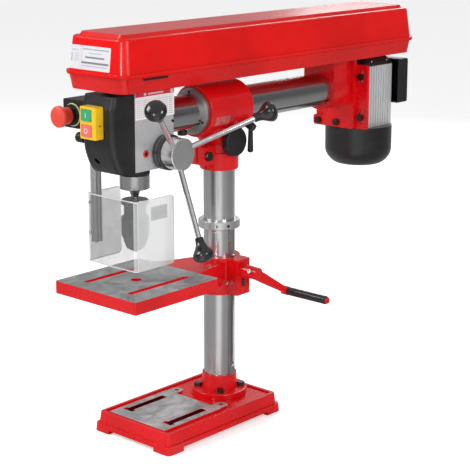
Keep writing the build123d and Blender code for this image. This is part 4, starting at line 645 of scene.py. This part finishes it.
def along_axis(centre, axis):
    """Moves a ring that lies flat round the origin to a centre and an axis."""
    turn = Vector((0, 0, 1)).rotation_difference(Vector(axis)).to_matrix().to_4x4()
    return Matrix.Translation(centre) @ turn


def dress(names, material):
    for name in names:
        mesh = nodes[name].data
        mesh.materials.clear()
        mesh.materials.append(material)


# ---------------------------------------------------------------- operators
class DRILL_OT_stage(bpy.types.Operator):
    """Floor, lights and camera"""
    bl_idname = "drill.stage"
    bl_label = "Stage"

    def execute(self, context):
        settings = context.scene.drill_stage
        shade = Shade("floor_paper")
        x, y = shade.axes()[:2]
        cloud = shade.noise(2, 3)
        rays = shade.node("ShaderNodeLightPath")
        toward = (x * LANE[0] + y * LANE[1]) / (x * x + y * y).root().least(0.05)
        lane = 0.34 + toward.ramp(0.88, 1.0) * 0.70 + toward.ramp(-0.2, -1.0) * 0.18
        white = shade.mix(cloud, (0.95, 0.95, 0.95), (0.97, 0.97, 0.97))
        dim = shade.mix(lane, (0.0, 0.0, 0.0), (1.0, 1.0, 1.0))
        glow = shade.mix(rays.outputs["Is Camera Ray"], (0.0, 0.0, 0.0), (1.0, 1.0, 1.0))
        paper = shade.close(
            Base_Color=shade.mix(rays.outputs["Is Glossy Ray"], white, dim),
            Roughness=0.85 + cloud * 0.1, Emission_Color=glow, Emission_Strength=0.42)
        half = settings.floor / 2
        mesh = bpy.data.meshes.new("floor")
        corners = [(-half, -half, 0), (half, -half, 0), (half, half, 0), (-half, half, 0)]
        mesh.from_pydata(corners, [], [(0, 1, 2, 3)])
        mesh.transform(Matrix.Translation((0, 0, -0.4 * MM)))
        link("floor", mesh, paper)
        world = bpy.data.worlds.new("surroundings")
        context.scene.world = world
        world.use_nodes = True
        self.surroundings(world.node_tree, settings.sky)
        lamps = (
            ("key", (-1.6, -2.4, 2.6), (0, 0, 0.4), 1.6, 64),
            ("side", (2.6, -0.4, 1.5), (0, 0.1, 0.4), 0.8, 22),
            ("strip", (1.0, -2.6, 1.0), (0, 0, 0.45), 0.3, 10),
            ("back", (-1.2, 2.6, 1.8), (0, 0, 0.5), 1.2, 24))
        for name, place, target, size, power in lamps:
            light = bpy.data.lights.new(name, "AREA")
            light.energy = power
            light.size = size
            lamp = bpy.data.objects.new(name, light)
            lamp.location = place
            aim = Vector(target) - Vector(place)
            lamp.rotation_euler = aim.to_track_quat("-Z", "Y").to_euler()
            context.scene.collection.objects.link(lamp)
        lens = bpy.data.cameras.new("view")
        lens.lens = settings.lens
        lens.sensor_width = 36
        lens.shift_x = 0.02
        lens.shift_y = -0.10
        lens.clip_end = 100
        camera = bpy.data.objects.new("view", lens)
        camera.location = (1.7851, -1.8887, 1.0202)
        camera.rotation_euler = (math.pi / 2 - 0.2151, 0, 0.7372)
        context.scene.collection.objects.link(camera)
        context.scene.camera = camera
        context.scene.view_settings.view_transform = "Standard"
        return {"FINISHED"}

    def surroundings(self, tree, sky):
        """White in view, a soft sky for light, dim walls with one bright bank for gloss."""
        def put(kind, **links):
            node = tree.nodes.new(kind)
            for key, source in links.items():
                tree.links.new(source, node.inputs[int(key[1:])])
            return node

        def graded(source, stops):
            spread = put("ShaderNodeMapRange", _0=source)
            spread.inputs[1].default_value = -1.0
            ramp = put("ShaderNodeValToRGB", _0=spread.outputs[0])
            elements = ramp.color_ramp.elements
            while len(elements) < len(stops):
                elements.new(1.0)
            for element, (at, grey) in zip(elements, stops):
                element.position = at
                element.color = (grey, grey, grey * 1.01, 1.0)
            return ramp.outputs[0]

        tree.nodes.clear()
        place = tree.nodes.new("ShaderNodeTexCoord").outputs["Generated"]
        height = put("ShaderNodeSeparateXYZ", _0=place).outputs[2]
        soft = graded(height, (
            (0.0, 0.30), (0.46, 0.42), (0.52, 0.62), (0.68, 0.50), (1.0, 0.30)))
        turn = put("ShaderNodeVectorMath", _0=place)
        turn.operation = "DOT_PRODUCT"
        turn.inputs[1].default_value = (*LANE, 0.0)
        walls = graded(turn.outputs["Value"], (
            (0.0, 0.34), (0.30, 0.16), (0.62, 0.09), (0.84, 0.16), (0.95, 0.50), (1.0, 0.8)))
        above = graded(height, ((0.0, 0.0), (0.66, 0.0), (0.80, 0.5), (1.0, 0.5)))
        bank = put("ShaderNodeMix", _6=walls, _7=above)
        bank.data_type = "RGBA"
        bank.blend_type = "LIGHTEN"
        bank.inputs[0].default_value = 1.0
        room = put("ShaderNodeBackground", _0=soft)
        room.inputs[1].default_value = sky
        gloss = put("ShaderNodeBackground", _0=bank.outputs[2])
        seen = tree.nodes.new("ShaderNodeBackground")
        seen.inputs[0].default_value = (1.0, 1.0, 1.0, 1.0)
        rays = tree.nodes.new("ShaderNodeLightPath")
        mirrored = put("ShaderNodeMixShader", _0=rays.outputs["Is Glossy Ray"],
                       _1=room.outputs[0], _2=gloss.outputs[0])
        chosen = put("ShaderNodeMixShader", _0=rays.outputs["Is Camera Ray"],
                     _1=mirrored.outputs[0], _2=seen.outputs[0])
        put("ShaderNodeOutputWorld", _0=chosen.outputs[0])


class DRILL_OT_castings(bpy.types.Operator):
    """Paint of the castings and the sheet housing"""
    bl_idname = "drill.castings"
    bl_label = "Castings and housings"

    def execute(self, context):
        paint = context.scene.drill_paint
        enamel, red = tuple(paint.enamel), tuple(paint.casting)
        bare = tuple(paint.machined)
        dress(["belt_lid"], painted("lid_enamel", enamel, grain=0.10, rough=0.24, coat=0.25))
        dress(["belt_pan"], painted("pan_enamel", toned(enamel, 0.82), grain=0.10))
        dress(["tilt_sleeve"], self.sleeve(red))
        dress(["column_flange", "arm_bracket", "crank_arm"],
              painted("casting_paint", red, grain=0.3, lumps=0.35, rough=0.3, coat=0.3))
        dress(["motor_bracket", "motor_plate"],
              painted("bracket_paint", toned(red, 0.95), grain=0.3, lumps=0.35, rough=0.28))
        reach = 0.4 * MM
        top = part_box("table")[1].z - 5 * MM
        dress(["table"], cut_face("table_iron", bare, red, top - reach, top + reach, "y"))
        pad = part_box("base")[1].z
        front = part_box("base")[0].y
        # boxes of the two slots in the base top, whose paint is darkened as painted shade
        slot_shade_boxes = [(left * MM, right * MM, front + 36 * MM, front + 150 * MM)
                 for left, right in ((-60.5, -43.5), (43.5, 60.5))]
        dress(["base"], cut_face(
            "base_iron", toned(bare, 1.06), red, pad - reach, pad + reach, "x", slot_shade_boxes))
        dress(["head_casting"], hammered("hammer_paint", tuple(paint.hammered)))
        return {"FINISHED"}

    def sleeve(self, red):
        """Painted turning sleeve whose front retainer is bare turned metal."""
        shade = Shade("sleeve_two_finish")
        y = shade.axes()[1]
        bare = y < (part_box("arm_bracket")[0].y - 0.2 * MM)
        lines = shade.noise(1, 3, 0.7, (40, 900, 40))
        broad = shade.noise(30, 3)
        metal = shade.mix(broad.ramp(0.35, 0.7), (0.40, 0.40, 0.40), (0.52, 0.52, 0.52))
        return shade.close(
            Base_Color=shade.mix(bare, red, metal), Roughness=0.30 + lines * 0.10,
            Metallic=bare * 0.8, Specular_IOR_Level=0.35,
            Normal=shade.bump(lines * 0.4, 0.05 * MM, 0.3, shade.eased(0.5 * MM)))


class DRILL_OT_steels(bpy.types.Operator):
    """Ground, turned, plated and blackened metal"""
    bl_idname = "drill.steels"
    bl_label = "Steel parts"

    def execute(self, context):
        grey = (0.5, 0.5, 0.5)
        # pieces, then name, colour, stretch, roughness, wear, metallic, stain
        for pieces, *finish in (
                ("column", "column_ground", (0.66, 0.66, 0.665), (14, 14, 2400), 0.24),
                ("ram", "ram_ground", (0.56, 0.565, 0.57), (14, 2400, 14), 0.22),
                ("column_rack", "rack_steel", (0.50, 0.50, 0.49), (500, 60, 60), 0.36, 0.4),
                ("rack_collar", "collar_turned", (0.78, 0.78, 0.78), (30, 30, 700), 0.33),
                ("scale_ring", "scale_turned", (0.55, 0.55, 0.55), (40, 700, 40), 0.36),
                ("quill spindle quill_bearings", "quill_ground", (0.55, 0.55, 0.55),
                 (20, 20, 1200), 0.24),
                ("chuck_body", "chuck_oxide", (0.10, 0.10, 0.105), (30, 30, 900), 0.30, 0.3),
                ("chuck_sleeve", "sleeve_oxide", (0.14, 0.14, 0.145), (30, 30, 600), 0.32, 0.3),
                ("chuck_jaw_1 chuck_jaw_2 chuck_jaw_3", "jaw_hard", (0.42, 0.41, 0.40),
                 (300, 300, 60), 0.3),
                ("feed_spokes", "spoke_chrome", (0.90, 0.90, 0.91), (60, 60, 60), 0.14, 0.05),
                ("feed_hub", "hub_satin", (0.90, 0.90, 0.90), (420, 30, 30), 0.20, 0.12),
                ("depth_ring", "ring_blued", (0.12, 0.12, 0.125), (700, 30, 30), 0.3, 0.2),
                ("feed_shaft worm_shaft lift_gear motor_rotor return_spring", "inner_steel",
                 (0.40, 0.39, 0.37), (300, 300, 300), 0.34, 0.3),
                ("spindle_pulley motor_pulley", "pulley_alloy", (0.58, 0.58, 0.59),
                 (30, 30, 900), 0.36, 0.2),
                ("flange_bolts motor_bolts swivel_clamp_bolt ram_stop_screw", "bolt_oxide",
                 (0.09, 0.085, 0.08), (200, 200, 200), 0.36, 0.35, 1.0, (0.28, 0.20, 0.12)),
                ("motor_housing", "motor_extrusion", (0.80, 0.81, 0.82), (500, 500, 14), 0.34,
                 0.12, 0.45, grey),
                ("guard_rail", "rail_anodised", (0.66, 0.67, 0.68), (500, 500, 20), 0.34, 0.12,
                 0.8, grey)):
            dress(pieces.split(), ground_steel(*finish))
        return {"FINISHED"}


class DRILL_OT_plastics(bpy.types.Operator):
    """Moulded plastic, knobs, buttons, belt and guard"""
    bl_idname = "drill.plastics"
    bl_label = "Plastic parts"

    def execute(self, context):
        # pieces, then name, colour, roughness, grain, scale, coat, edge, dust
        for pieces, *finish in (
                ("head_cover", "cover_black", (0.012, 0.012, 0.013), 0.36, 0.4, 1100, 0.15),
                ("estop_box terminal_box guard_holder motor_fan", "box_black",
                 (0.013, 0.013, 0.014), 0.46, 0.8, 800),
                ("motor_fan_cover motor_top_cap", "motor_black", (0.010, 0.010, 0.011), 0.32,
                 0.4, 900, 0.2),
                ("feed_knobs", "knob_gloss", (0.010, 0.010, 0.011), 0.20, 0.15, 500, 0.5),
                ("crank_grip", "grip_black", (0.016, 0.016, 0.017), 0.28, 0.6, 700, 0.25),
                ("swivel_lock_knob ram_lock_lever table_lock_lever guard_knob spring_cap",
                 "lever_black", (0.012, 0.012, 0.013), 0.40, 0.8, 800),
                ("switch_box", "switch_yellow", (0.86, 0.52, 0.006), 0.34, 0.4, 900, 0.15,
                 EASED, 0.02),
                ("start_button", "start_green", (0.035, 0.36, 0.17), 0.24, 0.2, 700, 0.4,
                 EASED, 0.03),
                ("stop_button", "stop_red", (0.78, 0.16, 0.15), 0.24, 0.2, 700, 0.4, EASED, 0.03),
                ("drive_belt", "belt_rubber", (0.018, 0.018, 0.018), 0.7, 1.0, 600, 0.0,
                 0.3 * MM)):
            dress(pieces.split(), moulded(*finish))
        dress(["estop_button"], self.mushroom())
        low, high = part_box("chuck_guard")
        dress(["chuck_guard"], clear_sheet("guard_acrylic", low, high))
        return {"FINISHED"}

    def mushroom(self):
        """Salmon-red cap on a black stem."""
        shade = Shade("stop_mushroom")
        y = shade.axes()[1]
        stem = (y - (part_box("estop_button")[0].y + 17 * MM)) > 0
        wipe = shade.noise(60, 3)
        red = shade.mix(wipe.ramp(0.4, 0.7), (0.74, 0.055, 0.03), (0.82, 0.10, 0.06))
        grain = shade.noise(700, 2)
        return shade.close(
            Base_Color=shade.mix(stem, red, (0.012, 0.012, 0.012)), Roughness=0.34 + wipe * 0.12,
            Normal=shade.bump(grain, 0.08 * MM, 0.4, shade.eased(0.5 * MM)))


class DRILL_OT_screws(bpy.types.Operator):
    """Small screws, made by one tree for each body"""
    bl_idname = "drill.screws"
    bl_label = "Small screws"

    def execute(self, context):
        radius = context.scene.drill_trim.screw_radius
        tree = screw_tree()
        black = ground_steel("screw_black", (0.07, 0.07, 0.072), (300, 300, 300), 0.36, 0.3)
        bright = ground_steel("screw_bright", (0.66, 0.65, 0.63), (300, 300, 300), 0.24, 0.1)
        switch_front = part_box("switch_box")[0].y / MM
        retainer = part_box("tilt_sleeve")[0].y / MM
        retainer_circle, collar_r = 36.2, 39.9
        ring = []
        for t in (math.radians(turn) for turn in (92, 212, 332)):
            place = mm(retainer_circle * math.cos(t), retainer,
                       RAM_Z + retainer_circle * math.sin(t))
            ring.append((place, FORWARD))
        t = math.radians(-22)
        collar = mm(collar_r * math.cos(t), COLUMN_Y + collar_r * math.sin(t), 376.7)
        # name, body, places with their aims, head radius, material, slot
        groups = (
            ("retainer_screws", "tilt_sleeve", ring, radius * 0.95, black, "cast_alloy"),
            ("collar_screw", "stand", [(collar, (math.cos(t), math.sin(t), 0))], radius,
             black, "dark_steel"),
            ("switch_screw", "ram_unit", [(mm(20, switch_front + 10, 606), OUTWARD)],
             radius * 0.6, black, "dark_steel"),
            ("gear_cover_screw", "table", [(mm(36, 41, 266), FORWARD)], radius * 1.5,
             bright, "bright_steel"),
            ("crank_screw", "crank", [(mm(88, 47.2, 297.2), (0, -0.9, 0.42))], radius * 1.7,
             bright, "bright_steel"),
            ("motor_cap_screws", "ram_unit",
             [(mm(49.6, 470, 650), OUTWARD), (mm(49.6, 522, 650), OUTWARD)], radius,
             bright, "bright_steel"),
            ("motor_side_screws", "ram_unit",
             [(mm(58.5, 447, 534), OUTWARD), (mm(58.5, 447, 623), OUTWARD)], radius * 0.9,
             black, "dark_steel"),
            ("guard_screws", "guard",
             [(mm(-54, -223, 455), FORWARD), (mm(-54, -223, 400), FORWARD)], radius * 1.15,
             bright, "bright_steel"))
        for name, body, spots, size, material, slot in groups:
            piece = grown(tree, name, points_mesh(name, spots),
                          {"Head Radius": size, "Head Height": size * 0.6}, material)
            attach(piece, body)
        return {"FINISHED"}


class DRILL_OT_scales(bpy.types.Operator):
    """Marks of the tilt scale and of the depth ring"""
    bl_idname = "drill.scales"
    bl_label = "Scales"

    def execute(self, context):
        trim = context.scene.drill_trim
        tree = mark_tree()
        ink = moulded("scale_ink", (0.02, 0.02, 0.02), 0.5, 0.3)
        pale = moulded("scale_pale", (0.75, 0.75, 0.75), 0.5, 0.3, dust=0.0)
        low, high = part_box("scale_ring")
        tilt = grown(
            tree, "tilt_marks", bpy.data.meshes.new("tilt_marks"),
            {"Ring Radius": high.x, "Marks": trim.scale_marks, "Mark Length": 2.2 * MM},
            ink, along_axis(
                Vector((0, (low.y + high.y) / 2, (low.z + high.z) / 2)), (0, 1, 0)))
        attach(tilt, "tilt_sleeve")
        low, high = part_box("depth_ring")
        middle = (low + high) / 2
        depth = grown(
            tree, "depth_marks", bpy.data.meshes.new("depth_marks"),
            {"Ring Radius": (high.z - low.z) / 2, "Marks": trim.depth_marks,
             "Mark Length": 3.5 * MM},
            pale, along_axis(middle, OUTWARD))
        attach(depth, "depth_dial")
        return {"FINISHED"}


class DRILL_OT_labels(bpy.types.Operator):
    """Plain panels with bars, in the places of the printed labels"""
    bl_idname = "drill.labels"
    bl_label = "Labels"

    def execute(self, context):
        thick = context.scene.drill_trim.label_thickness
        lid_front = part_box("belt_lid")[0].y / MM
        lean, sunk = 7.0 / 60.0, 0.05

        def front(z):
            return lid_front + 4.0 + (z - 696) * lean - sunk

        left, right, bottom, top = -60.5, 40.5, 699, 740
        corners = [mm(left, front(bottom), bottom), mm(right, front(bottom), bottom),
                   mm(right, front(top), top), mm(left, front(top), top)]
        plate = panel("lid_label", corners, thick, self.lid_print(), 1.0 * MM)
        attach(plate, "lid")
        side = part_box("head_casting")[0].x / MM * -1
        notice = panel("head_label", upright(side, -198.5, -103, 609.5, 657.5), thick,
                       self.notice_print(), 1.0 * MM)
        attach(notice, "ram_unit")
        badge = wrapped("sleeve_label", 49 * MM, thick, (0, RAM_Z * MM), (0, 38 * MM), -31, -10,
                        self.badge_print())
        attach(badge, "arm")
        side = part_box("chuck_guard")[1].x / MM
        sticker = panel("guard_label", upright(side, -186, -145, 432, 457), thick,
                        self.sticker_print(), 1.0 * MM)
        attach(sticker, "guard")
        return {"FINISHED"}

    def lid_print(self):
        shade = Shade("lid_label_print")
        x, z = (axis / MM for axis in shade.axes()[::2])
        base = shade.mix(shade.noise(40, 2), (0.66, 0.66, 0.69), (0.76, 0.76, 0.79))
        heavy = bars(x, z, [
            (-31, 37, 709.5, 713), (-22, 26, 719, 722), (-30.6, -30, 702, 739)])
        light = bars(x, z, [
            (-28, 36, 733, 735.5), (-14, 18, 727, 728.5), (-28, 34, 705, 706.6),
            (-56, -46, 731, 732.5), (-57, -54, 712, 726)])
        shield = bars(x, z, [(-50, -38, 712, 726)])
        warm = bars(x, z, [(-45, -39, 731, 732.5), (-35.5, -34.8, 702, 739)])
        ink = shade.mix(light * 0.7, base, (0.30, 0.30, 0.34))
        ink = shade.mix(heavy * 0.85, ink, (0.14, 0.14, 0.16))
        ink = shade.mix(shield * 0.5, ink, (0.55, 0.52, 0.52))
        ink = shade.mix(warm * 0.6, ink, (0.75, 0.25, 0.22))
        return shade.close(
            Base_Color=ink, Roughness=0.34 + shade.noise(60, 2) * 0.1, Coat_Weight=0.2)

    def notice_print(self):
        shade = Shade("head_label_print")
        y, z = (axis / MM for axis in shade.axes()[1:])
        base = shade.mix(shade.noise(40, 2), (0.82, 0.82, 0.82), (0.90, 0.90, 0.90))
        rows = broken(shade, y, z, -196, -106, 613, 646, 3.6, 420)
        band = z > 649
        title = bars(y, z, [(-178, -172, 651, 655.5), (-168, -130, 651.8, 654.6)])
        mark = bars(y, z, [(-112, -105, 650, 656.5)])
        ink = shade.mix(rows * 0.65, base, (0.24, 0.24, 0.26))
        ink = shade.mix(band, ink, (0.62, 0.02, 0.04))
        ink = shade.mix(title.least(mark) * 0.8, ink, (0.85, 0.75, 0.75))
        return shade.close(
            Base_Color=ink, Roughness=0.40 + shade.noise(60, 2) * 0.1, Coat_Weight=0.15)

    def badge_print(self):
        shade = Shade("sleeve_label_print")
        haze = shade.noise(90, 3)
        ink = shade.mix(haze.ramp(0.3, 0.7), (0.50, 0.04, 0.05), (0.66, 0.13, 0.12))
        return shade.close(Base_Color=ink, Roughness=0.35 + haze * 0.15, Coat_Weight=0.3)

    def sticker_print(self):
        shade = Shade("guard_label_print")
        y, z = (axis / MM for axis in shade.axes()[1:])
        rows = broken(shade, y, z, -183, -148, 435, 454, 3.2, 420)
        ink = shade.mix(rows * 0.6, (0.62, 0.63, 0.64), (0.34, 0.34, 0.36))
        return shade.close(Base_Color=ink, Roughness=0.4 + rows * 0.1, Alpha=0.55 + rows * 0.2)


class DRILL_OT_switchgear(bpy.types.Operator):
    """Button marks and the ring behind the stop button"""
    bl_idname = "drill.switchgear"
    bl_label = "Switchgear"

    def execute(self, context):
        trim = context.scene.drill_trim
        white = moulded("button_mark", (0.80, 0.84, 0.80), 0.4, 0.2, dust=0.0)
        low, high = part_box("start_button")
        middle = (low + high) / 2
        half, tall = 0.7 * MM, 4.2 * MM
        corners = [Vector((middle.x + across * half, low.y, middle.z + up * tall))
                   for across, up in ((-1, -1), (1, -1), (1, 1), (-1, 1))]
        bar = panel("start_mark", corners, 0.2 * MM, white)
        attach(bar, "start_button")
        low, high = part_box("stop_button")
        middle = (low + high) / 2
        ring = turned(
            "stop_mark", profile((3.4, 0), (4.6, 0), (4.6, 0.2), (3.4, 0.2)),
            Vector((middle.x, low.y, middle.z)), FORWARD, white)
        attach(ring, "stop_button")
        cap, stem = (corner.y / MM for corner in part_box("estop_button"))
        pale = moulded("stop_ring_pale", (0.62, 0.62, 0.30), 0.45, 0.4, dust=0.05)
        outer, inner = trim.stop_ring, 14.0 * MM
        collar = turned(
            "stop_ring", [(inner, 0), (outer, 0), (outer, 1.4 * MM),
                          (outer - 1.2 * MM, 2.2 * MM), (inner, 2.2 * MM)],
            mm(STOP_X, stem, STOP_Z), FORWARD, pale, 64)
        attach(collar, "ram_unit")
        neck_red = moulded("stop_neck_red", (0.76, 0.07, 0.04), 0.34, 0.3, dust=0.03)
        neck = turned(
            "stop_neck", profile((14.4, 0), (15.2, 0), (15.0, 11.5), (13.3, 15.6), (12.7, 15.6),
                                 (14.4, 11.5)),
            mm(STOP_X, cap + 25, STOP_Z), FORWARD, neck_red, 64)
        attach(neck, "estop_button")
        return {"FINISHED"}


class DRILL_OT_plugs(bpy.types.Operator):
    """Quill bumper, red plug of the head and dark slots"""
    bl_idname = "drill.plugs"
    bl_label = "Plugs and rings"

    def execute(self, context):
        black = moulded("bumper_black", (0.012, 0.012, 0.012), 0.5, 0.6)
        bumper_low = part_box("quill")[0].z / MM + 26.6
        bumper = turned(
            "quill_bumper",
            profile((24.6, 0), (27.0, 0), (27.6, 1), (27.6, 5), (26.8, 10.2), (24.6, 10.2)),
            mm(0, SPINDLE_Y, bumper_low), (0, 0, 1), black, 72)
        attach(bumper, "ram_unit")
        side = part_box("head_casting")[0].x / MM * -1
        red = moulded("plug_red", (0.70, 0.03, 0.03), 0.35, 0.4, dust=0.04)
        plug = turned(
            "head_plug", profile((3.8, 0), (7.0, 0), (6.6, 1.2), (5.2, 1.8), (3.8, 1.2)),
            mm(side, PLUG_Y, PLUG_Z), OUTWARD, red)
        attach(plug, "ram_unit")
        dark = moulded("slot_shadow", (0.02, 0.004, 0.004), 0.8, 0.2, dust=0.0)
        hole = turned(
            "head_plug_hole", profile((0, 0), (3.9, 0), (3.9, 0.5), (0, 0.5)),
            mm(side, PLUG_Y, PLUG_Z), OUTWARD, dark, 32)
        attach(hole, "ram_unit")
        socket = turned(
            "head_socket", profile((0, 0), (2.6, 0), (2.6, 0.3), (0, 0.3)),
            mm(side, -106, 598), OUTWARD, dark, 24)
        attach(socket, "ram_unit")
        corners = [mm(76.6, -213, 684), mm(76.6, -155, 684), mm(77.2, -155, 687.5),
                   mm(77.2, -213, 687.5)]
        slot = panel("pan_slot", corners, 0.9 * MM, dark, 1.2 * MM)
        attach(slot, "ram_unit")
        return {"FINISHED"}


class DRILL_PT_panel(bpy.types.Panel):
    """Lists the pieces and their sizes"""
    bl_idname = "DRILL_PT_panel"
    bl_label = "Drill Press"
    bl_space_type = "VIEW_3D"
    bl_region_type = "UI"
    bl_category = "Drill Press"

    def draw(self, context):
        scene = context.scene
        for group in (scene.drill_paint, scene.drill_trim, scene.drill_stage):
            for name in group.__annotations__:
                self.layout.prop(group, name)
        for operator in OPERATORS:
            self.layout.operator(operator.bl_idname)


GROUPS = (DrillPaint, DrillTrim, DrillStage)
OPERATORS = (
    DRILL_OT_stage, DRILL_OT_castings, DRILL_OT_steels, DRILL_OT_plastics, DRILL_OT_screws,
    DRILL_OT_scales, DRILL_OT_labels, DRILL_OT_switchgear, DRILL_OT_plugs)


def register():
    for kind in (*GROUPS, *OPERATORS, DRILL_PT_panel):
        bpy.utils.register_class(kind)
    bpy.types.Scene.drill_paint = PointerProperty(type=DrillPaint)
    bpy.types.Scene.drill_trim = PointerProperty(type=DrillTrim)
    bpy.types.Scene.drill_stage = PointerProperty(type=DrillStage)


def unregister():
    del bpy.types.Scene.drill_paint
    del bpy.types.Scene.drill_trim
    del bpy.types.Scene.drill_stage
    for kind in (DRILL_PT_panel, *reversed(OPERATORS), *reversed(GROUPS)):
        bpy.utils.unregister_class(kind)


def main():
    register()
    for operator in OPERATORS:
        family, name = operator.bl_idname.split(".")
        result = getattr(getattr(bpy.ops, family), name)()
        if "FINISHED" not in result:
            raise RuntimeError(operator.bl_label + " didn't finish")


if __name__ == "__main__":
    main()
